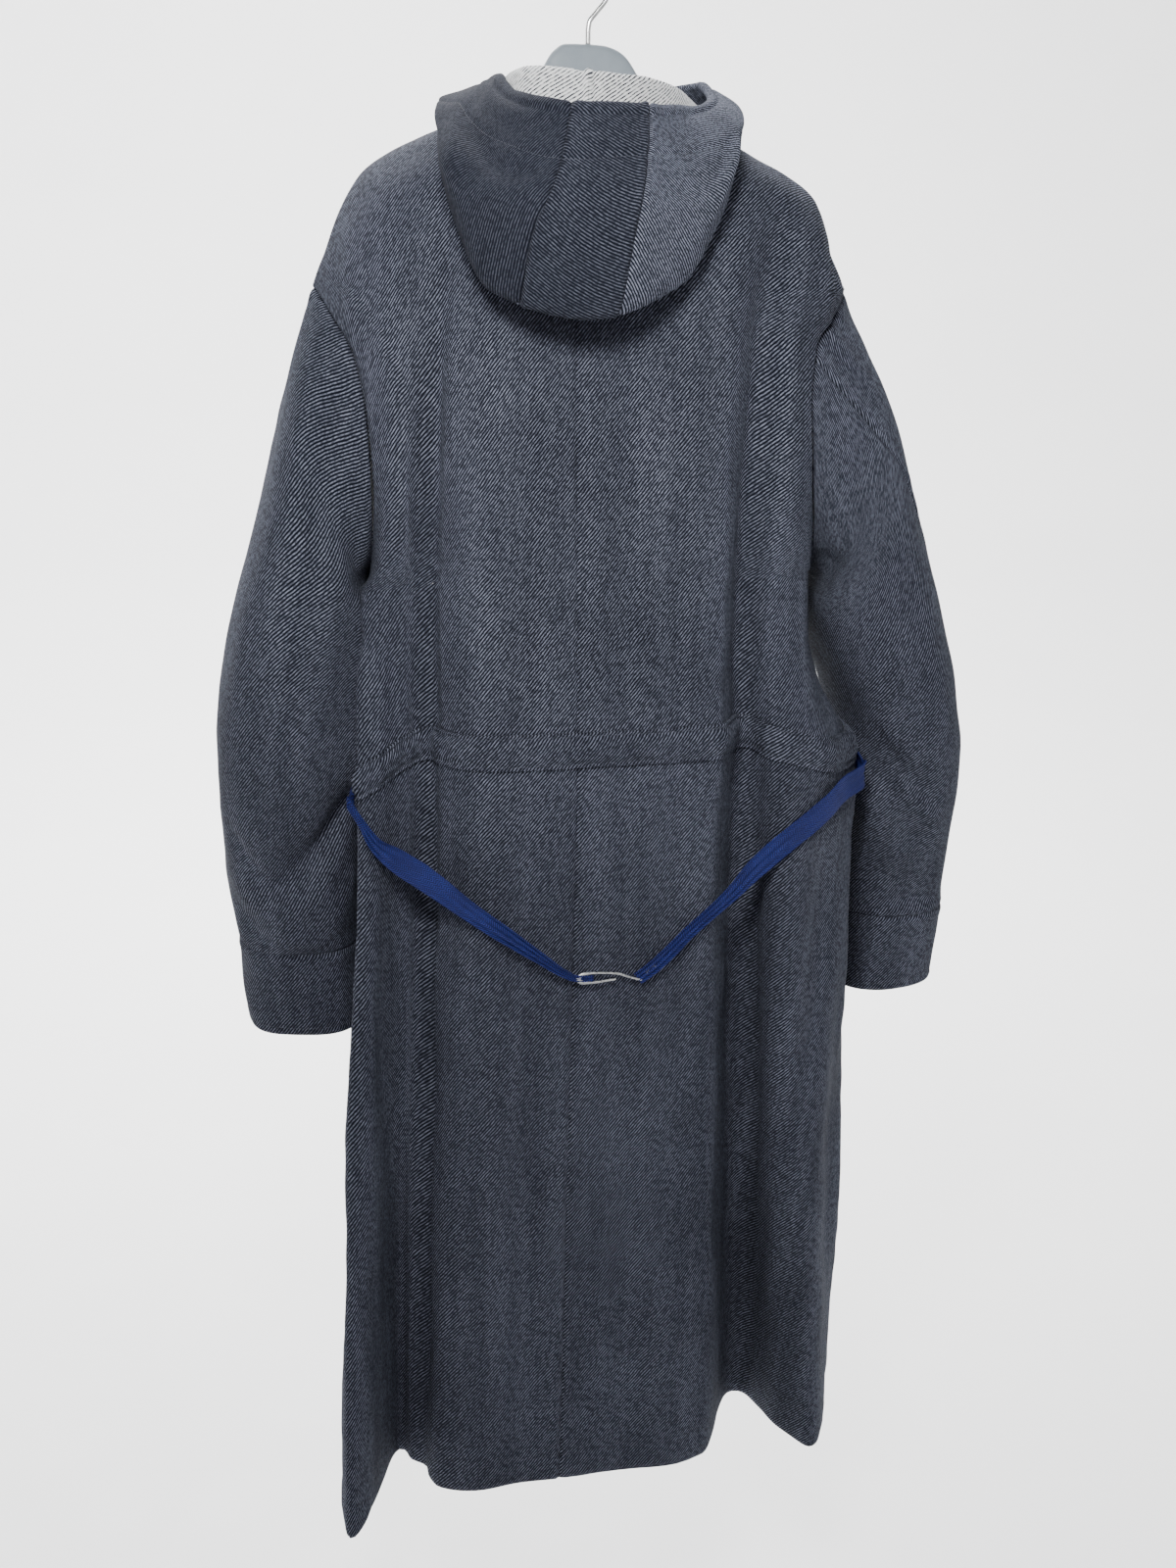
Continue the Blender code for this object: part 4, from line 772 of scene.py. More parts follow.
def weldNormals():
    # neighbours share one normal along a seam, unless the cloth folds sharply there
    edges = []
    for name, piece in pieces.items():
        piece["normal"] = unit(gridNormals(piece["grid"]) * -piece["flip"])
        edges += [(name, r, c) for r, c in zip(*np.nonzero(boundary(piece)))]
    tree = KDTree(len(edges))
    for i, (name, r, c) in enumerate(edges):
        tree.insert(pieces[name]["grid"][r, c], i)
    tree.balance()
    joined = []
    for name, r, c in edges:
        own = pieces[name]["normal"][r, c]
        total, seen = own.copy(), {name}
        for _, i, dist in tree.find_range(pieces[name]["grid"][r, c], 0.003):
            other, r2, c2 = edges[i]
            if other in seen and not (other == name and dist < 1e-5):
                continue
            facing = pieces[other]["normal"][r2, c2]
            if float(own @ facing) > (-0.6 if "hood" in name and "hood" in other else 0.0):
                total = total + facing
            seen.add(other)
        joined.append(total)
    for (name, r, c), total in zip(edges, joined):
        pieces[name]["normal"][r, c] = unit(total)
    for piece in pieces.values():
        if piece["wrap"]:
            mean = unit(piece["normal"][:, 0] + piece["normal"][:, -1])
            piece["normal"][:, 0] = piece["normal"][:, -1] = mean


def edgeDistances(piece):
    across, down = piece["across"], piece["down"]
    return {
        "start": np.abs(across - across[:, :1]), "end": np.abs(across - across[:, -1:]),
        "top": np.abs(down - down[:1]), "low": np.abs(down - down[-1:]),
    }


def lineDistance(a, b, points):
    # distance to a line of points, and how far along it
    best, where = np.full(a.shape, 9.0), np.zeros(a.shape)
    total = len(points) - 1
    for k in range(total):
        (x0, y0), (x1, y1) = points[k], points[k + 1]
        dx, dy = x1 - x0, y1 - y0
        t = np.clip(((a - x0) * dx + (b - y0) * dy) / (dx ** 2 + dy ** 2), 0, 1)
        off = np.hypot(a - x0 - t * dx, b - y0 - t * dy)
        nearer = off < best
        where = np.where(nearer, (k + t) / total, where)
        best = np.minimum(best, off)
    return best, where


def finePath(points):
    points = np.array(points)
    return softTable(np.linspace(0, len(points) - 1, 9), np.arange(len(points)), points)


weldNormals()
for number, (name, piece) in enumerate(pieces.items()):
    grid, across, down = piece["grid"], piece["across"], piece["down"]
    away = edgeDistances(piece)
    push = np.zeros(across.shape)
    hoodPart = name.startswith("hood")
    calm = np.ones(across.shape)
    for edge in ("start", "end", "top", "low"):
        if piece["wrap"] and edge in ("start", "end"):
            continue
        if edge == "low" and not hoodPart and not name.startswith("sleeve"):
            continue
        calm *= smooth(away[edge] / swell["calmEdge"])
    if piece["wrap"]:
        turn = across / np.abs(across[:, -1:]) * 2 * math.pi
        radius = 0.06
        u, v = np.sin(turn) * radius, np.cos(turn) * radius + down
        push += calm * softWaves(u, v, 40 + number, 0.09, 0.0008)
    else:
        size = 0.5 if hoodPart else 1.0
        push += size * calm * softWaves(across, down, 10 + number, swell["length"], swell["height"])
        push += calm * softWaves(across, down, 70 + number, swell["fineLength"], swell["fine"])
    if name.startswith("back"):
        # folds stand out along evened directions, so that they never cross
        for _ in range(evenedPasses):
            still = piece["normal"].copy()
            still[:, 1:-1] = unit(still[:, :-2] + 2 * still[:, 1:-1] + still[:, 2:])
            piece["normal"] = still
    measures = (across, down) if hoodPart else (np.abs(across), grid[:, :, 2])
    for points, out, wide in creaseRows.get(name, ()):
        off, along = lineDistance(*measures, finePath(points))
        push += calm * out * np.sin(math.pi * (0.06 + 0.88 * along)) * hump(off, wide)
    for edge, (deep, wide, welt, weltWide) in edgeWork[name].items():
        groove = hump(away[edge], wide)
        # the cloth puckers a little where it is sewn
        way = down if edge in ("start", "end") else across
        pucker = 1 + 0.35 * np.sin(way * 2 * math.pi / 0.021 + np.sin(way * 61.0) * 1.7)
        push += -deep * groove + welt * pucker * smooth(1.6 - away[edge] / weltWide) * (1 - groove)
    for edge, at in pressedLines.get(name, ()):
        push += -0.0007 * hump(away[edge] - at, 0.0016) + 0.0004 * smooth((at - away[edge]) / 0.006)
    if "rimRow" in piece:
        # the cord's groove and swell, then the facing's seam and the thicker cloth above it
        below, facing = down[piece["rimRow"]][None] - down, sewnAt["rim"]
        push += -0.0012 * hump(below - 0.0085, 0.0022) + 0.0007 * hump(below - 0.003, 0.003)
        above = smooth((facing - below) / 0.008) * (below > 0)
        push += -0.0009 * hump(below - facing, 0.0022) + 0.0004 * above
    piece["grid"] = grid + piece["normal"] * push[..., None]
    if piece["wrap"]:
        piece["grid"][:, -1] = piece["grid"][:, 0]
weldNormals()
print("creases and seams done")

# materials


def addNode(tree, kind, inputs=(), **settings):
    node = tree.nodes.new(kind)
    for key, value in settings.items():
        setattr(node, key, value)
    for key, value in dict(inputs).items():
        if hasattr(value, "is_output"):
            tree.links.new(value, node.inputs[key])
        else:
            node.inputs[key].default_value = value
    return node


def sums(tree, operation, a, b=0.0, c=None):
    inputs = {0: a, 1: b} if c is None else {0: a, 1: b, 2: c}
    return addNode(tree, "ShaderNodeMath", inputs, operation=operation).outputs[0]


def blendColour(tree, share, a, b):
    node = addNode(tree, "ShaderNodeMix", {0: share, 6: a, 7: b}, data_type="RGBA")
    return node.outputs[2]


def stretch(tree, vector, scale):
    return addNode(tree, "ShaderNodeVectorMath", {0: vector, 1: scale}, operation="MULTIPLY").outputs[0]


def noise(tree, vector, scale, detail=1.0, rough=0.5, flat=True):
    inputs = {"Vector": vector, "Scale": scale, "Detail": detail, "Roughness": rough}
    return addNode(tree, "ShaderNodeTexNoise", inputs, noise_dimensions="2D" if flat else "3D").outputs[0]


def ramp(tree, value, low, high, toLow=0.0, toHigh=1.0):
    inputs = {0: value, 1: low, 2: high, 3: toLow, 4: toHigh}
    return addNode(tree, "ShaderNodeMapRange", inputs, interpolation_type="SMOOTHSTEP").outputs[0]


def addBump(tree, shader, strength, distance, height):
    inputs = {"Strength": strength, "Distance": distance, "Height": height}
    tree.links.new(addNode(tree, "ShaderNodeBump", inputs).outputs[0], shader.inputs["Normal"])


def makeTwill():
    # group: flecked twill lines from a flat position in metres
    group = bpy.data.node_groups.new("twillLines", "ShaderNodeTree")
    for key, kind in (("Flat", "Vector"), ("Turn", "Float"), ("Pitch", "Float")):
        group.interface.new_socket(key, in_out="INPUT", socket_type="NodeSocket" + kind)
    for key in ("Line", "Fleck", "Height", "Broad"):
        group.interface.new_socket(key, in_out="OUTPUT", socket_type="NodeSocketFloat")
    start, end = group.nodes.new("NodeGroupInput"), group.nodes.new("NodeGroupOutput")
    inputs = {"Vector": start.outputs["Flat"], "Angle": start.outputs["Turn"]}
    flat = addNode(group, "ShaderNodeVectorRotate", inputs, rotation_type="Z_AXIS").outputs[0]
    parts = addNode(group, "ShaderNodeSeparateXYZ", {0: flat}).outputs
    drift = noise(group, flat, 9.0, 1.0)
    wobble = noise(group, flat, 95.0, 0.0)
    pitch = start.outputs["Pitch"]
    steps = sums(group, "DIVIDE", parts[0], pitch)
    steps = sums(group, "ADD", steps, sums(group, "MULTIPLY", drift, 0.7))
    steps = sums(group, "ADD", steps, sums(group, "MULTIPLY", wobble, 0.30))
    wave = sums(group, "SINE", sums(group, "MULTIPLY", steps, 2 * math.pi))
    line = ramp(group, wave, -0.25, 0.80)
    broken = noise(group, stretch(group, flat, (1.0, 0.32, 1.0)), 820.0, 1.0, 0.6)
    fleck = ramp(group, broken, 0.34, 0.64, 0.30, 1.0)
    fine = noise(group, flat, 1900.0, 0.0)
    height = sums(group, "ADD", sums(group, "MULTIPLY", line, 0.7), sums(group, "MULTIPLY", fine, 0.5))
    streak = noise(group, stretch(group, start.outputs["Flat"], (1.0, 0.07, 1.0)), 46.0, 2.0, 0.6)
    cloud = sums(group, "MULTIPLY", noise(group, flat, 7.0, 3.0, 0.6), 0.5)
    broad = sums(group, "ADD", cloud, sums(group, "MULTIPLY", streak, 0.5))
    for key, value in (("Line", line), ("Fleck", fleck), ("Height", height), ("Broad", broad)):
        group.links.new(value, end.inputs[key])
    return group


twill = makeTwill()
twillPitch = 0.00225       # from one line of the twill to the next


def startMaterial(name):
    material = bpy.data.materials.new(name)
    material.use_nodes = True
    tree = material.node_tree
    return material, tree, tree.nodes["Principled BSDF"]


def makeWool(name, turn, ground, fleck, amount, paintedSheen=0.0):
    material, tree, shader = startMaterial(name)
    flat = addNode(tree, "ShaderNodeUVMap", uv_map="weave").outputs[0]
    lines = addNode(tree, "ShaderNodeGroup", node_tree=twill)
    tree.links.new(flat, lines.inputs["Flat"])
    lines.inputs["Turn"].default_value = math.radians(turn)
    lines.inputs["Pitch"].default_value = twillPitch
    share = sums(tree, "MULTIPLY", lines.outputs["Line"], lines.outputs["Fleck"])
    # the added sheen value lifts the pale share all over the piece: a painted sheen
    haze = ramp(tree, lines.outputs["Broad"], 0.30, 0.72, 0.70 + paintedSheen, 1.12 + paintedSheen)
    share = sums(tree, "MULTIPLY", sums(tree, "MULTIPLY", share, amount), haze)
    share = sums(tree, "MINIMUM", sums(tree, "ADD", share, sums(tree, "MULTIPLY", haze, 0.02)), 1.0)
    colour = blendColour(tree, share, (*ground, 1.0), (*fleck, 1.0))
    tree.links.new(colour, shader.inputs["Base Color"])
    addBump(tree, shader, 0.55, 0.0006, lines.outputs["Height"])
    shader.inputs["Roughness"].default_value = 0.92
    shader.inputs["Sheen Weight"].default_value = 0.02
    shader.inputs["Sheen Roughness"].default_value = 0.55
    shader.inputs["Sheen Tint"].default_value = (0.75, 0.82, 1.0, 1.0)
    shader.inputs["Specular IOR Level"].default_value = 0.06
    return material


navy, paleFleck = (0.0022, 0.0026, 0.0056), (0.196, 0.211, 0.272)
grey, darkFleck = (0.680, 0.688, 0.690), (0.016, 0.018, 0.024)
# degrees that the twill turns on each piece
bodyTurn = 39
woolTurns = dict.fromkeys(pieces, bodyTurn)
woolTurns.update({"hood_left": -13, "hood_centre": -65, "hood_right": -19})
woolTurns.update({"hood_neck_left": 50, "hood_neck_right": 50})
# by that turn, how much pale yarn shows and how much painted sheen lifts it; on the hood this is painted
# light: less pale on the left and centre panels as painted shade, more on the right panel as a painted
# highlight
hoodPaintedLight = {-13: (0.25, 0.0), -65: (0.38, 0.0), -19: (0.92, 0.30)}
woolBooks = {}
for turn in sorted(set(woolTurns.values())):
    tag = str(turn).replace("-", "m")
    amount, paintedSheen = hoodPaintedLight.get(turn, (0.78, 0.0))
    woolBooks[turn] = (
        makeWool("woolFace_" + tag, turn, navy, paleFleck, amount, paintedSheen),
        makeWool("woolBack_" + tag, -turn, grey, darkFleck, 1.5),
    )


def makePlain(name, colour, second, rough, metal=0.0, scale=30.0, bumpHeight=0.0):
    # one surface whose colour and roughness drift a little
    material, tree, shader = startMaterial(name)
    place = addNode(tree, "ShaderNodeTexCoord").outputs["Object"]
    drift = noise(tree, place, scale, 3.0, 0.6, False)
    mixed = blendColour(tree, ramp(tree, drift, 0.3, 0.7), (*colour, 1.0), (*second, 1.0))
    tree.links.new(mixed, shader.inputs["Base Color"])
    wear = noise(tree, place, scale * 9, 2.0, 0.5, False)
    tree.links.new(ramp(tree, wear, 0.3, 0.7, rough * 0.8, rough * 1.25), shader.inputs["Roughness"])
    shader.inputs["Metallic"].default_value = metal
    if bumpHeight:
        addBump(tree, shader, 0.5, bumpHeight, noise(tree, place, scale * 60, 1.0, 0.5, False))
    return material


steel = makePlain("brushedSteel", (0.60, 0.60, 0.59), (0.46, 0.46, 0.46), 0.30, 1.0, 60.0, 0.00004)
wire = makePlain("hangerWire", (0.66, 0.66, 0.65), (0.52, 0.52, 0.52), 0.22, 1.0, 60.0)
shell = makePlain("hangerShell", (0.174, 0.202, 0.225), (0.163, 0.191, 0.214), 0.62, 0.0, 14.0, 0.00003)
floorPaint = makePlain("floorPaint", (0.90, 0.90, 0.90), (0.88, 0.88, 0.885), 0.85, 0.0, 1.2)
threadDark = makePlain("threadNavy", (0.018, 0.021, 0.034), (0.035, 0.040, 0.056), 0.7, 0.0, 200.0)
threadPale = makePlain("threadGrey", (0.110, 0.125, 0.155), (0.170, 0.185, 0.215), 0.7, 0.0, 200.0)


def makeTape():
    material, tree, shader = startMaterial("blueHerringbone")
    flat = addNode(tree, "ShaderNodeUVMap", uv_map="weave").outputs[0]
    parts = addNode(tree, "ShaderNodeSeparateXYZ", {0: flat}).outputs
    # chevrons 5.5 mm wide across the tape
    across = sums(tree, "PINGPONG", parts[0], 0.00275)
    steps = sums(tree, "DIVIDE", sums(tree, "ADD", parts[1], across), 0.0020)
    wobble = sums(tree, "MULTIPLY", noise(tree, flat, 500.0), 0.4)
    wave = sums(tree, "SINE", sums(tree, "MULTIPLY", sums(tree, "ADD", steps, wobble), 2 * math.pi))
    share = ramp(tree, wave, -0.6, 0.9)
    broad = ramp(tree, noise(tree, flat, 40.0, 3.0), 0.3, 0.7, 0.75, 1.15)
    share = sums(tree, "MULTIPLY", share, broad)
    colour = blendColour(tree, share, (0.0020, 0.0035, 0.026, 1.0), (0.0185, 0.0290, 0.172, 1.0))
    tree.links.new(colour, shader.inputs["Base Color"])
    addBump(tree, shader, 0.6, 0.0003, wave)
    shader.inputs["Roughness"].default_value = 0.72
    shader.inputs["Specular IOR Level"].default_value = 0.20
    return material


tapeCloth = makeTape()
print("materials done")

# solids


def makeObject(name, verts, faces, materials, slots=None, uvs=None, staged=False):
    mesh = bpy.data.meshes.new(name)
    mesh.from_pydata([tuple(v) for v in np.asarray(verts, float)], [], [tuple(f) for f in faces])
    for material in materials:
        mesh.materials.append(material)
    if slots is not None:
        mesh.polygons.foreach_set("material_index", np.asarray(slots, np.int32))
    if uvs is not None:
        layer = mesh.uv_layers.new(name="weave")
        loops = np.zeros(len(mesh.loops), np.int32)
        mesh.loops.foreach_get("vertex_index", loops)
        layer.data.foreach_set("uv", np.asarray(uvs, np.float32)[loops].reshape(-1))
    mesh.polygons.foreach_set("use_smooth", np.ones(len(mesh.polygons), bool))
    mesh.update()
    thing = bpy.data.objects.new(name, mesh)
    bpy.context.scene.collection.objects.link(thing)
    if staged:
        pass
    else:
        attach(thing, "root")
    return thing


def fixNormals(thing):
    mesh = bmesh.new()
    mesh.from_mesh(thing.data)
    bmesh.ops.remove_doubles(mesh, verts=mesh.verts, dist=1e-7)
    bmesh.ops.recalc_face_normals(mesh, faces=mesh.faces)
    mesh.to_mesh(thing.data)
    mesh.free()


def clothPiece(name, materials, thick, extraEdge=None, drawn=-0.00015, lift=0.0):
    # a closed wall of cloth: outer face, inner face and the edges between
    piece = pieces[name]
    grid, normal = piece["grid"], piece["normal"]
    rows, cols = grid.shape[:2]
    shift = np.zeros_like(grid)
    if not piece["wrap"]:
        shift[:, 0] += unit(grid[:, 1] - grid[:, 0]) * drawn
        shift[:, -1] += unit(grid[:, -2] - grid[:, -1]) * drawn
    shift[0] += unit(grid[1] - grid[0]) * drawn
    if lift == 0.0 and name.startswith("sleeve"):
        shift[-1] += unit(grid[-2] - grid[-1]) * drawn
    outer = grid + shift + normal * lift
    depth = np.full((rows, cols), thick) if extraEdge is None else thick + extraEdge
    inner = outer - normal * depth[..., None]
    verts = np.concatenate((outer.reshape(-1, 3), inner.reshape(-1, 3)))
    half = rows * cols
    index = np.arange(half).reshape(rows, cols)
    a, b, c, d = index[:-1, :-1], index[:-1, 1:], index[1:, 1:], index[1:, :-1]
    outerFaces = np.stack((a, b, c, d), axis=-1).reshape(-1, 4)
    innerFaces = outerFaces[:, ::-1] + half
    rims = []
    lines = [(index[0], False), (index[-1], True)]
    if not piece["wrap"]:
        lines += [(index[:, 0], True), (index[:, -1], False)]
    for line, turned in lines:
        p, q = line[:-1], line[1:]
        face = np.stack((p + half, q + half, q, p), axis=-1)
        rims.append(face[:, ::-1] if turned else face)
    rims = np.concatenate(rims)
    faces = np.concatenate((outerFaces, innerFaces, rims))
    corners = verts[faces]
    turned = np.cross(corners[:, 1], corners[:, 2]) + np.cross(corners[:, 2], corners[:, 3])
    if np.sum(corners[:, 0] * turned) < 0:                # a closed wall's faces point outwards
        faces = faces[:, ::-1]
    # the cloth's grey inner side is the second material
    slots = np.concatenate((np.zeros(len(outerFaces)), np.ones(len(innerFaces)), np.zeros(len(rims))))
    uv = np.stack((piece["across"], -piece["down"]), axis=-1).reshape(-1, 2)
    thing = makeObject("cloth_" + name, verts, faces, materials, slots, np.concatenate((uv, uv)))
    piece["outer"], piece["inner"] = outer, inner
    return thing


cloth = {}
for name in pieces:
    face, back = woolBooks[woolTurns[name]]
    away = edgeDistances(pieces[name])
    extra = None
    if name.startswith(("back", "front")):
        extra = coat["hemExtra"] * smooth((coat["hemDepth"] - away["low"]) / 0.003)
    if name.startswith("cuff"):
        extra = np.full(away["low"].shape, coat["cuffExtra"])
    cloth[name] = clothPiece(name, [face, back], coat["clothThick"], extra)
    if pieces[name]["wrap"]:
        fixNormals(cloth[name])
print("cloth walls done")

# waist casing, sewn on the back

casing = {"thick": 0.0016, "lift": 0.0005, "rows": 30, "width": 0.030, "bridge": 0.011}
casingEnd = body["neckCells"] + body["sideCells"] - 3     # the column where its mouth opens
print("casing ends at column", casingEnd)


def backRow(side, row):
    # grid and normal of a back panel at a row between its own rows
    piece = pieces["back_" + sideName(side)]
    i = min(int(row), len(piece["grid"]) - 2)
    t = row - i
    return [piece[k][i] * (1 - t) + piece[k][i + 1] * t for k in ("grid", "normal", "across")]


def rowOf(level):
    # a back panel's row at a level below the armpit
    height = coat["armpitLevel"] - coat["hemLevel"]
    return body["armRows"] + (coat["armpitLevel"] - level) / height * body["lowRows"]


def sampleLine(at, run, values):
    # points of a line at given runs
    return np.stack([np.interp(at, run, values[:, k]) for k in range(3)], axis=1)


rows, tilts, runs = [], [], []
for level in np.linspace(coat["casingTop"], coat["casingLow"], casing["rows"] + 1):
    left, right = ([part[:casingEnd + 1] for part in backRow(side, rowOf(level))] for side in (1, -1))
    for store, leftPart, rightPart in zip((rows, tilts, runs), left, right):
        store.append(np.concatenate((leftPart[::-1], rightPart[1:])))
rows, tilts, runs = np.array(rows), unit(np.array(tilts)), np.array(runs)
# the seam groove of the panels below doesn't show through the casing
for row, tilt, run in zip(rows, tilts, runs):
    order = np.argsort(run)
    inside = np.abs(run) < casing["bridge"]
    known = order[~inside[order]]
    for line in (row, tilt):
        line[inside] = sampleLine(run[inside], run[known], line[known])
down = runAlong(rows)
share = np.linspace(0, 1, casing["rows"] + 1)[:, None]
toEdge = np.minimum(share, 1 - share) * casing["width"]
endNear = smooth(1 - np.minimum(np.abs(runs - runs[:, :1]), np.abs(runs - runs[:, -1:])) / 0.09)
gathers = np.sin(runs * 2 * math.pi / 0.013 + np.sin(runs * 47.0) * 2.2) * (0.0003 + 0.0011 * endNear)
upperEdge = share < 0.5
puff = (0.0007 + 0.0007 * upperEdge) * smooth(toEdge / 0.0013)
puff = puff + 0.0021 * smooth((toEdge - 0.0036) / 0.007) * (1 + 0.7 * endNear)
groove = (0.0008 + 0.0006 * upperEdge) * hump(toEdge - 0.0034, 0.0012)
rows = rows + tilts * (puff + gathers * smooth(toEdge / 0.006) - groove)[..., None]
addGrid("waist_casing", rows, runs, down, flip=True)
pieces["waist_casing"]["normal"] = tilts
proud = casing["thick"] + casing["lift"]
cloth["waist_casing"] = clothPiece(
    "waist_casing", list(woolBooks[bodyTurn]), casing["thick"], drawn=0.0, lift=proud,
)

# belt tapes

tape = {"thick": 0.0012, "width": 0.022, "turn": 0.0015, "cells": 18, "arcPoints": 26, "points": 150}
tapeRows = {
    1: (
        # x, y, level, half width
        (0.2210, 0.0890, -0.6745, 0.0050), (0.2185, 0.0935, -0.6795, 0.0036),
        (0.2130, 0.0968, -0.6895, 0.0032), (0.2023, 0.0985, -0.7090, 0.0058),
        (0.1853, 0.1020, -0.7238, 0.0101), (0.1657, 0.1070, -0.7380, 0.0110),
        (0.1502, 0.1130, -0.7490, 0.0106), (0.1348, 0.1200, -0.7605, 0.0096),
        (0.1225, 0.1255, -0.7692, 0.0087), (0.1084, 0.1300, -0.7792, 0.0076),
        (0.0914, 0.1325, -0.7915, 0.0064), (0.0750, 0.1340, -0.8040, 0.0051),
        (0.0515, 0.1340, -0.8222, 0.0034), (0.0420, 0.1322, -0.8284, 0.0027),
        (0.0320, 0.1321, -0.8302, 0.0024), (0.0240, 0.1321, -0.8302, 0.0022),
    ),
    -1: (
        (-0.2350, 0.0740, -0.6780, 0.0108), (-0.2086, 0.1010, -0.6855, 0.0110),
        (-0.1855, 0.1185, -0.6979, 0.0110), (-0.1647, 0.1240, -0.7113, 0.0107),
        (-0.1425, 0.1260, -0.7265, 0.0100), (-0.1196, 0.1265, -0.7452, 0.0090),
        (-0.0983, 0.1290, -0.7648, 0.0072), (-0.0771, 0.1310, -0.7816, 0.0060),
        (-0.0579, 0.1325, -0.7968, 0.0056), (-0.0439, 0.1332, -0.8105, 0.0056),
        (-0.0301, 0.1328, -0.8232, 0.0057), (-0.0220, 0.1324, -0.8296, 0.0058),
        (-0.0150, 0.1322, -0.8342, 0.0058),
    ),
}


def smoothPath(points, count):
    points = np.asarray(points, float)
    run = runAlong(points[:, :3])
    return softTable(np.linspace(0, run[-1], count), run, points)


def beltTurn(side):
    # middle line of a tape where it leaves the casing's open end and doubles back
    line, tilt, _ = backRow(side, rowOf((coat["casingTop"] + coat["casingLow"]) / 2))
    cell = casingEnd
    along = unit(line[cell] - line[cell - 3]) + unit(line[cell + 3] - line[cell])
    along = unit(np.array([along[0], along[1], 0.0]))
    lift = side * np.array([-along[1], along[0], 0.0])
    mouth = line[cell] + along * 0.0007 + tilt[cell] * (casing["lift"] + 0.0008)
    path = [mouth, mouth + along * 0.002 + lift * 0.0002]
    for k in range(7):
        t = math.radians(-90 + 30 * k)
        ahead, rise = 0.004 + tape["turn"] * math.cos(t), 0.0010 + tape["turn"] * (1 + math.sin(t))
        path.append(mouth + along * ahead + lift * rise)
    top, low = (backRow(side, rowOf(coat[k]))[0][cell] for k in ("casingTop", "casingLow"))
    return path, unit(top - low)


for side in (1, -1):
    arc, slant = beltTurn(side)
    given = tapeRows[side]
    bend = tape["arcPoints"]
    first = smoothPath([(*p, given[0][3]) for p in arc], bend)
    path = np.concatenate((first[:-1], smoothPath([(*arc[-1], given[0][3]), *given], tape["points"])))
    middle = path[:, :3]
    along = unit(np.gradient(middle, axis=0))
    run = runAlong(middle)
    upright = np.tile((0.0, 0.0, 1.0), (len(path), 1))
    ease = smooth(1 - run / 0.018)[:, None]
    upright = unit(slant * ease + upright * (1 - ease))
    wide = unit(upright - along * np.sum(along * upright, axis=1, keepdims=True))
    raw = np.cross(along, wide)
    out = raw * np.where(raw[:, 1:2] < 0, -1.0, 1.0)
    # round the bend the outer side follows the tape instead of facing backwards
    out[:bend] = unit(raw)[:bend] * np.sign(raw[bend + 4] @ out[bend + 4])
    t = np.linspace(-1, 1, tape["cells"] + 1)[None]
    half = path[:, 3:4]
    # where the tape is narrower than its own width it lies in soft pleats
    fold = np.sqrt(np.maximum(0.0, (tape["width"] / 2) ** 2 - half ** 2)) / 3.0
    pleats = (1 - np.cos(t * math.pi * 3)) / 2
    offset = fold * pleats * 0.9
    sway = 0.0007 * np.sin(run * 2 * math.pi / 0.11 + side)[:, None] * t
    sway = sway + 0.0009 * (t ** 2) * np.sin(run * 21.0 + 1.0)[:, None]
    # one soft dent where each tape comes out
    if side < 0:
        offset = offset - 0.0022 * hump(run - 0.045, 0.020)[:, None] * hump(t - 0.15, 0.35)
    else:
        offset = offset + 0.0026 * hump(run - 0.040, 0.022)[:, None] * np.clip(-t - 0.2, 0, 1)
    lifted = (offset + sway) * smooth(run / 0.02)[:, None]
    grid = middle[:, None] + wide[:, None] * (half * t)[..., None] + out[:, None] * lifted[..., None]
    normal = unit(np.cross(np.gradient(grid, axis=0), np.gradient(grid, axis=1)))
    normal *= np.sign((normal * out[:, None]).sum(axis=-1, keepdims=True).mean(axis=1, keepdims=True))
    name = "belt_tape_" + sideName(side)
    pieces[name] = {
        "grid": grid, "normal": normal, "wrap": False,
        "across": np.tile(np.linspace(0, tape["width"], tape["cells"] + 1), (len(path), 1)),
        "down": np.tile(run[:, None], (1, tape["cells"] + 1)),
    }
    cloth[name] = clothPiece(name, [tapeCloth, tapeCloth], tape["thick"], drawn=0.0, lift=tape["thick"] / 2)
print("casing and belt done")

# belt hook, a bent flat wire

beltHook = {"wire": 0.0013, "y": 0.1345, "sides": 20}
beltHookLine = (
    # x, level, half height, half depth: from the free end of the eye to the tail
    (0.0052, -0.8330, 0.0010, 0.0010), (0.0240, -0.8344, 0.0012, 0.0011), (0.0330, -0.8338, 0.0019, 0.0011),
    (0.0365, -0.8303, 0.0026, 0.0010), (0.0330, -0.8268, 0.0019, 0.0011), (0.0240, -0.8258, 0.0012, 0.0011),
    (0.0100, -0.8268, 0.0011, 0.0011), (0.0010, -0.8285, 0.0011, 0.0010), (-0.0080, -0.8322, 0.0010, 0.0010),
    (-0.0180, -0.8356, 0.0010, 0.0009),
)


def ringsObject(name, rings, material):
    # a closed solid from a row of rings
    index = np.arange(rings.shape[0] * rings.shape[1]).reshape(rings.shape[:2])
    follow = np.roll(index, -1, axis=1)
    walls = np.stack((index[:-1], follow[:-1], follow[1:], index[1:]), axis=-1).reshape(-1, 4)
    thing = makeObject(name, rings.reshape(-1, 3), [*walls, index[0][::-1], index[-1]], [material])
    fixNormals(thing)
    return thing


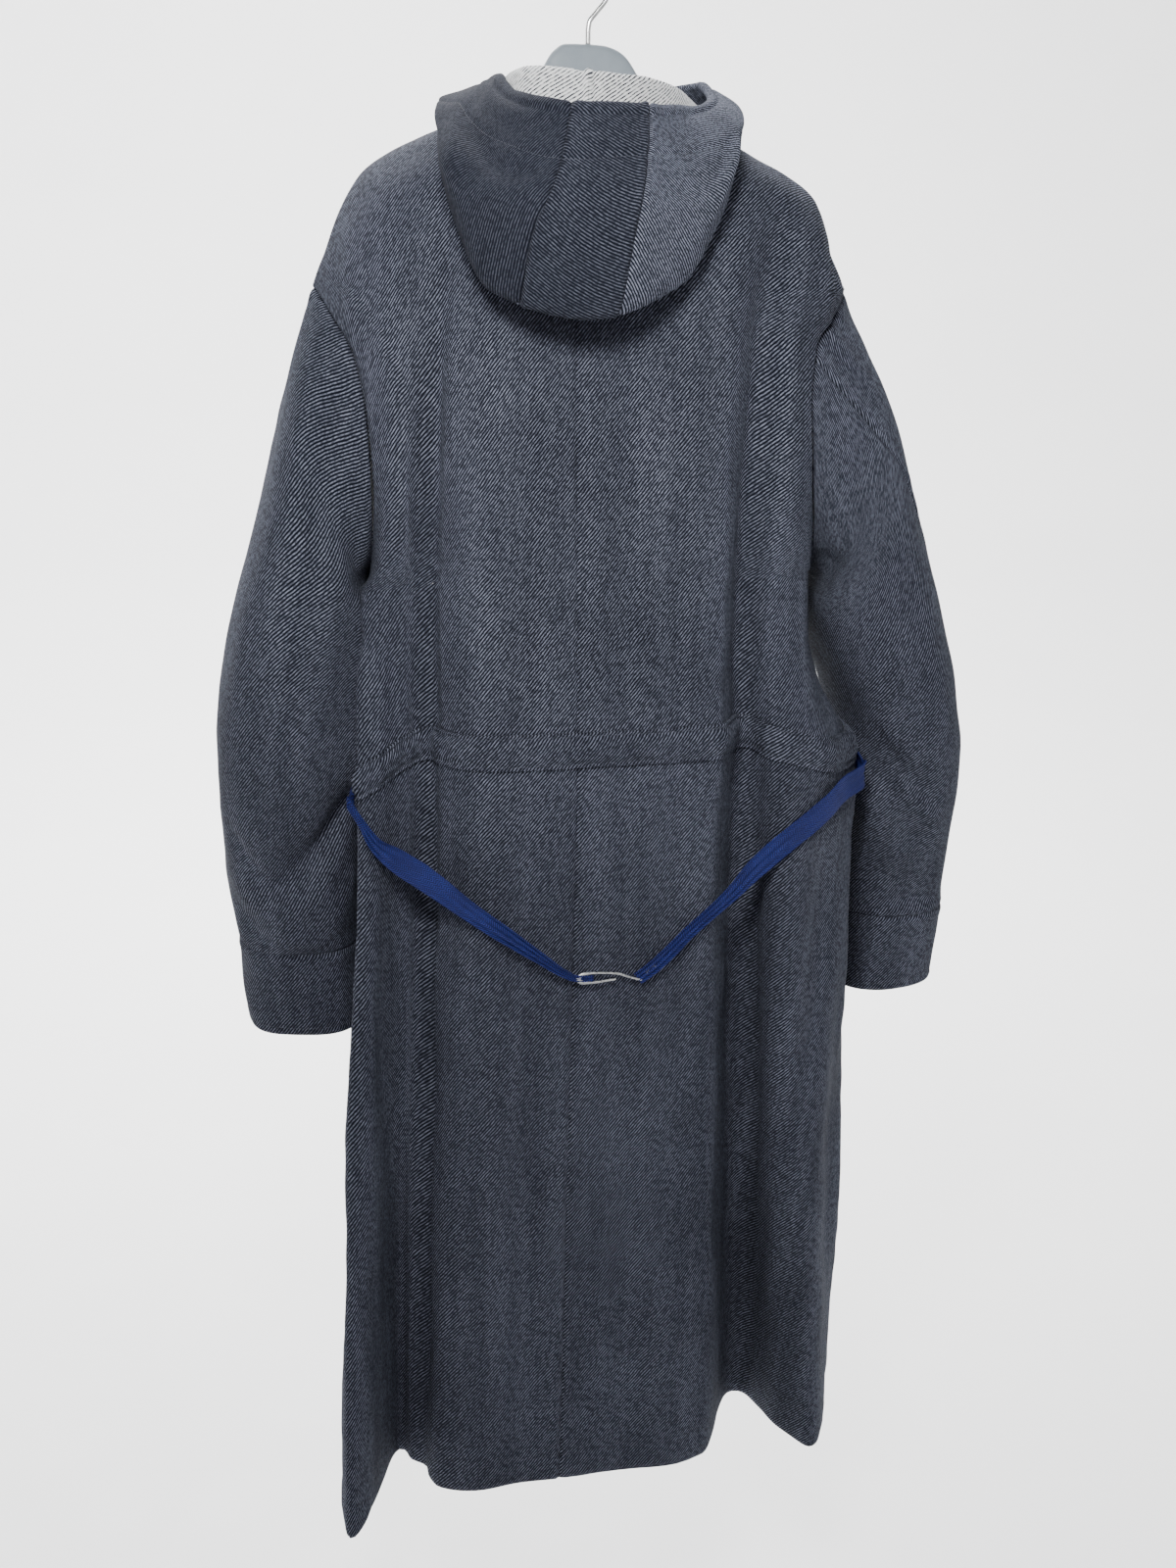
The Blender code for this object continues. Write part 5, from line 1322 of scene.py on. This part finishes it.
def tubeObject(name, path, material, sides):
    # a wire of oval section along a path of (x, y, z, half height, half depth)
    middle = path[:, :3]
    along = unit(np.gradient(middle, axis=0))
    deep = np.array([0.0, 1.0, 0.0])
    tall = unit(np.cross(along, deep[None]))
    turn = np.linspace(0, 2 * math.pi, sides, endpoint=False)
    ring = middle[:, None] + tall[:, None] * (np.cos(turn)[None] * path[:, 3:4])[..., None]
    ring = ring + deep * (np.sin(turn)[None] * path[:, 4:5])[..., None]
    ends = []
    for k, sign in ((0, -1), (-1, 1)):
        for shrink, ahead in ((0.92, 0.45), (0.70, 0.80), (0.36, 0.96)):
            cap = middle[k] + (ring[k] - middle[k]) * shrink + along[k] * sign * ahead * path[k, 4]
            ends.append(cap)
    return ringsObject(name, np.concatenate((ends[2::-1], ring, ends[3:])), material)


line = smoothPath([(x, beltHook["y"], z, a, b) for x, z, a, b in beltHookLine], 110)
hookPiece = tubeObject("metal_belt_hook", line, steel, beltHook["sides"])

# hanger

plateRows = (
    # x, top, bottom, half thickness
    (-0.0520, -0.1215, -0.146, 0.0085), (-0.0401, -0.0964, -0.134, 0.0085),
    (-0.0290, -0.0820, -0.130, 0.0080), (-0.0195, -0.0770, -0.128, 0.0075),
    (-0.0105, -0.0750, -0.127, 0.0070), (0.0045, -0.0744, -0.126, 0.0070),
    (0.0190, -0.0746, -0.127, 0.0070), (0.0290, -0.0805, -0.129, 0.0075),
    (0.0372, -0.0930, -0.132, 0.0085), (0.0500, -0.1180, -0.144, 0.0085),
)
hanger = {
    "reach": 0.178,           # half its length
    "plate": 0.062,           # where the arms begin
    "sides": 56,
    "rows": 190,
    "endRound": 0.004,
    "wire": 0.0021,
    "inside": 0.020,          # inner radius of the hook
}


def clothUnder(x):
    side = 1 if x > 0 else -1
    piece = pieces["back_" + sideName(side)]
    top = piece["grid"][0, body["neckCells"]:]
    xs, zs = side * top[:, 0], top[:, 2]
    level = float(np.interp(side * x, xs, zs))
    slope = (np.interp(side * x + 0.003, xs, zs) - np.interp(side * x - 0.003, xs, zs)) / 0.006
    return level - (coat["clothThick"] + 0.0004) * math.sqrt(1 + slope ** 2)


def armRow(x):
    # top, bottom and half thickness of an arm, with the cloth resting on it
    top = clothUnder(x)
    share = (abs(x) - hanger["plate"]) / (hanger["reach"] - hanger["plate"])
    return (x, top, top - (0.034 - 0.012 * share), 0.0085 + 0.0030 * share)


reach, endRound = hanger["reach"], hanger["endRound"]
keys = [armRow(-x) for x in np.linspace(reach, 0.068, 23)] + list(plateRows)
keys += [armRow(x) for x in np.linspace(0.068, reach, 23)]
keys = np.array(keys)
between = np.linspace(-reach + endRound, reach - endRound, hanger["rows"])
xs = np.concatenate(([-reach, -reach + 0.0015], between, [reach - 0.0015, reach]))
levels = softTable(xs, keys[:, 0], keys[:, 1:])
turn = np.linspace(0, 2 * math.pi, hanger["sides"], endpoint=False)
rings = []
for x, (top, bottom, half) in zip(xs, levels):
    ends = max(0.0, abs(x) - reach + endRound) / endRound
    close = math.sqrt(max(0.04, 1 - ends ** 2))
    middle, tall = (top + bottom) / 2, (top - bottom) / 2
    c, s = np.cos(turn), np.sin(turn)
    flat = abs(x) < 0.045
    z = middle + tall * close * np.sign(c) * np.abs(c) ** np.where(c > 0, 0.75 if flat else 1.5, 0.8)
    y = half * close * np.sign(s) * np.abs(s) ** 0.75
    rings.append(np.stack((np.full(len(turn), x), y, z), axis=1))
hangerBody = ringsObject("moulded_hanger", np.array(rings), shell)

hookTurn = hanger["inside"] + hanger["wire"]
points = [(0.0, -0.0740), (0.0, -0.0660), (-0.0010, -0.0585), (-0.0075, -0.0500), (-0.0145, -0.0415)]
for degree in range(215, -31, -15):
    t = math.radians(degree)
    points.append((hookTurn * math.cos(t), -hanger["inside"] + hookTurn * math.sin(t)))
line = smoothPath([(x, 0.0, z, hanger["wire"], hanger["wire"]) for x, z in points], 150)
hangerHook = tubeObject("wire_hook", line, wire, 24)
print("hook and hanger done")

# stitches, one row of thread along each sewn line

stitch = {"pitch": 0.0036, "length": 0.0027, "width": 0.0006, "skew": 0.12}


def edgePath(name, edge, distance):
    # points and outward directions on a piece, at one distance from an edge
    piece = pieces[name]
    outer, normal = piece["outer"], piece["normal"]
    if edge == "rim":
        rim = piece["rimRow"]
        away = np.abs(piece["down"][rim][None] - piece["down"])[:rim + 1]
    else:
        away = edgeDistances(piece)[edge]
    if edge in ("start", "end"):
        away, outer, normal = away.T, outer.transpose(1, 0, 2), normal.transpose(1, 0, 2)
    sign = 1 if edge in ("top", "start") else -1
    points, outs = [], []
    for k in range(away.shape[1]):
        at = np.interp(sign * distance, sign * away[:, k], np.arange(len(away)))
        i = min(int(at), len(away) - 2)
        t = at - i
        points.append(outer[i, k] * (1 - t) + outer[i + 1, k] * t)
        outs.append(normal[i, k] * (1 - t) + normal[i + 1, k] * t)
    return np.array(points), np.array(outs)


def stitchTree():
    tree = bpy.data.node_groups.new("stitchRow", "GeometryNodeTree")
    tree.interface.new_socket("Geometry", in_out="INPUT", socket_type="NodeSocketGeometry")
    for key in ("Length", "Width", "Skew"):
        tree.interface.new_socket(key, in_out="INPUT", socket_type="NodeSocketFloat")
    tree.interface.new_socket("Seed", in_out="INPUT", socket_type="NodeSocketInt")
    tree.interface.new_socket("Thread", in_out="INPUT", socket_type="NodeSocketMaterial")
    tree.interface.new_socket("Geometry", in_out="OUTPUT", socket_type="NodeSocketGeometry")
    start, end = tree.nodes.new("NodeGroupInput"), tree.nodes.new("NodeGroupOutput")
    given = start.outputs
    along, out = (
        addNode(tree, "GeometryNodeInputNamedAttribute", {"Name": key}, data_type="FLOAT_VECTOR").outputs[0]
        for key in ("along", "out")
    )
    inputs = {"Segments": 6, "Rings": 5, "Radius": 0.5}
    ball = addNode(tree, "GeometryNodeMeshUVSphere", inputs).outputs["Mesh"]
    first = addNode(tree, "FunctionNodeAlignRotationToVector", {"Vector": along}, axis="X").outputs[0]
    inputs = {"Rotation": first, "Vector": out}
    second = addNode(tree, "FunctionNodeAlignRotationToVector", inputs, axis="Z", pivot_axis="X").outputs[0]
    loose = addNode(tree, "FunctionNodeRandomValue", {"Seed": given["Seed"]}, data_type="FLOAT")
    loose.inputs[2].default_value, loose.inputs[3].default_value = -1.0, 1.0
    bend = sums(tree, "MULTIPLY", loose.outputs[1], given["Skew"])
    tilt = addNode(tree, "ShaderNodeCombineXYZ", {2: bend}).outputs[0]
    spin = addNode(tree, "FunctionNodeEulerToRotation", {0: tilt}).outputs[0]
    inputs = {0: second, 1: spin}
    turned = addNode(tree, "FunctionNodeRotateRotation", inputs, rotation_space="LOCAL").outputs[0]
    longer = sums(tree, "MULTIPLY", given["Length"], sums(tree, "MULTIPLY_ADD", loose.outputs[1], 0.10, 1.0))
    flatter = sums(tree, "MULTIPLY", given["Width"], 0.7)
    size = addNode(tree, "ShaderNodeCombineXYZ", {0: longer, 1: given["Width"], 2: flatter}).outputs[0]
    inputs = {"Points": given["Geometry"], "Instance": ball, "Rotation": turned, "Scale": size}
    placed = addNode(tree, "GeometryNodeInstanceOnPoints", inputs)
    real = addNode(tree, "GeometryNodeRealizeInstances", {0: placed.outputs[0]}).outputs[0]
    inputs = {"Geometry": real, "Material": given["Thread"]}
    painted = addNode(tree, "GeometryNodeSetMaterial", inputs).outputs[0]
    tree.links.new(painted, end.inputs["Geometry"])
    return tree


stitches = stitchTree()


def sewn(name, paths, thread, seed, **changes):
    sizes = {**stitch, **changes}
    places, alongs, outs = [], [], []
    for points, normals in paths:
        run = runAlong(points)
        at = np.arange(sizes["pitch"] * 0.7, run[-1] - sizes["pitch"] * 0.4, sizes["pitch"])
        places.append(sampleLine(at, run, points))
        alongs.append(unit(sampleLine(at + 0.0008, run, points) - sampleLine(at - 0.0008, run, points)))
        outs.append(unit(sampleLine(at, run, normals)))
    places, alongs, outs = (np.concatenate(part) for part in (places, alongs, outs))
    mesh = bpy.data.meshes.new(name + "Line")
    mesh.from_pydata([tuple(p) for p in places], [], [])
    for key, values in (("along", alongs), ("out", outs)):
        layer = mesh.attributes.new(key, "FLOAT_VECTOR", "POINT")
        layer.data.foreach_set("vector", values.astype(np.float32).reshape(-1))
    line = bpy.data.objects.new(name + "Line", mesh)
    bpy.context.scene.collection.objects.link(line)
    modifier = line.modifiers.new("sewing", "NODES")
    modifier.node_group = stitches
    values = {key.capitalize(): sizes[key] for key in ("length", "width", "skew")}
    values.update({"Seed": seed, "Thread": thread})
    for socket in stitches.interface.items_tree:
        if socket.in_out == "INPUT" and socket.name in values:
            modifier[socket.identifier] = values[socket.name]
    final = bpy.data.meshes.new_from_object(line.evaluated_get(bpy.context.evaluated_depsgraph_get()))
    final.name = name
    bpy.data.objects.remove(line)
    thing = bpy.data.objects.new(name, final)
    final.materials.clear()
    final.materials.append(thread)
    for polygon in final.polygons:
        polygon.use_smooth = True
        polygon.material_index = 0
    bpy.context.scene.collection.objects.link(thing)
    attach(thing, "root")
    print("sewn", name, len(places), "stitches")
    return thing


# which pieces each row of stitches runs over, and along which edges
sewnRows = (
    ("casing", "casing", ("waist_casing",), ("top", "low")),
    ("hem", "hem", ("back_left", "back_right", "front_left", "front_right"), ("low",)),
    ("cuffs", "cuff", ("cuff_left", "cuff_right"), ("low",)),
    ("hood", "rim", ("hood_left", "hood_centre", "hood_right"), ("rim",)),
    ("fronts", "front", ("front_left", "front_right"), ("start",)),
)
for number, (thread, line, names, edges) in enumerate(sewnRows):
    paths = [edgePath(name, edge, sewnAt[line]) for name in names for edge in edges]
    sewn("thread_" + thread, paths, threadDark, 11 + number)
# a small cross of pale thread holds the end of the right tape
tapeEnd = pieces["belt_tape_right"]
fromEnd = tapeEnd["down"][:, 0] - tapeEnd["down"][-1, 0]
near, far = (int(np.argmin(np.abs(fromEnd + v))) for v in (0.0085, 0.0195))
crosses = []
for first, last in ((near, far), (far, near)):
    marks = [(int(round(first + (last - first) * t)), int(round(6 + 6 * t))) for t in np.linspace(0, 1, 9)]
    crosses.append([np.array([tapeEnd[key][mark] for mark in marks]) for key in ("outer", "normal")])
sewn("thread_tape", crosses, threadPale, 16, pitch=0.0026, length=0.0023, width=0.0007)
print("stitches done")

# hide the frame's parts that the cloth pieces, belt hook and hanger replace

for name, thing in cloth.items():
    piece = pieces[name]
    across, down, grid = piece["across"], piece["down"], piece["grid"]
    wide, long = float(across.max() - across.min()), float(down.max() - down.min())
    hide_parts(name)
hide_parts("belt_hook")
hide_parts("hanger_body")
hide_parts("hanger_hook")

# floor, light and camera

# a floor that sweeps up into walls all round: radius and rise
floor = {"level": -1.62, "sides": 96}
floorRings = (
    (0.001, 0.0), (1.0, 0.0), (2.2, 0.0), (3.2, 0.02), (4.0, 0.12), (4.8, 0.42), (5.4, 0.95), (5.8, 1.7),
    (6.0, 2.6), (6.1, 5.5),
)
sides = floor["sides"]
verts, faces = [], []
for r, rise in floorRings:
    for k in range(sides):
        t = 2 * math.pi * k / sides
        verts.append((r * math.cos(t), r * math.sin(t), floor["level"] + rise))
for i in range(len(floorRings) - 1):
    for k in range(sides):
        j = (k + 1) % sides
        faces.append((i * sides + k, i * sides + j, (i + 1) * sides + j, (i + 1) * sides + k))
makeObject("studioFloor", verts, faces, [floorPaint], staged=True)

world = bpy.data.worlds.new("studioAir")
world.use_nodes = True
air = world.node_tree.nodes["Background"].inputs
air["Color"].default_value = (0.93, 0.95, 1.0, 1.0)
air["Strength"].default_value = 0.11
bpy.context.scene.world = world


def areaLight(name, place, target, size, power, colour=(1.0, 1.0, 1.0), spread=180.0):
    light = bpy.data.lights.new(name, "AREA")
    light.spread = math.radians(spread)
    light.shape = "DISK"
    light.size = size
    light.energy = power
    light.color = colour
    lamp = bpy.data.objects.new(name, light)
    lamp.location = place
    lamp.rotation_euler = (Vector(target) - Vector(place)).to_track_quat("-Z", "Y").to_euler()
    lamp.visible_camera = False
    bpy.context.scene.collection.objects.link(lamp)


areaLight("keyLight", (0.36, 1.12, 0.30), (-0.02, 0.1, -0.34), 0.34, 7.6, spread=92.0)
areaLight("fillLight", (-1.7, 1.9, 0.7), (0.0, 0.0, -0.5), 1.2, 5.5, (0.95, 0.97, 1.0))
areaLight("farLight", (0.3, -2.6, 1.6), (0.0, 0.0, -0.6), 2.0, 34.0)
areaLight("wallLight", (0.0, -2.4, 2.4), (0.0, -4.2, -1.0), 2.4, 520.0)
areaLight("groundLight", (0.0, -1.7, 2.0), (0.0, -1.7, -1.6), 1.6, 150.0)

lens = bpy.data.cameras.new("viewCamera")
lens.lens = 40.0
lens.sensor_width = 36.0
lens.clip_start = 0.02
camera = bpy.data.objects.new("viewCamera", lens)
# it looks down from behind the coat, a little from the wearer's left
ahead = -Vector((0.2079, 0.9781, 0.0))
drop = math.radians(16.097)
forward = (ahead * math.cos(drop) + Vector((0, 0, -1)) * math.sin(drop)).normalized()
right = forward.cross(Vector((0, 0, 1))).normalized()
upward = right.cross(forward)
turned = Matrix((right, upward, -forward)).transposed().to_4x4()
camera.matrix_world = Matrix.Translation((0.316, 1.4868, -0.2587)) @ turned
bpy.context.scene.collection.objects.link(camera)
bpy.context.scene.camera = camera

bpy.context.view_layer.update()
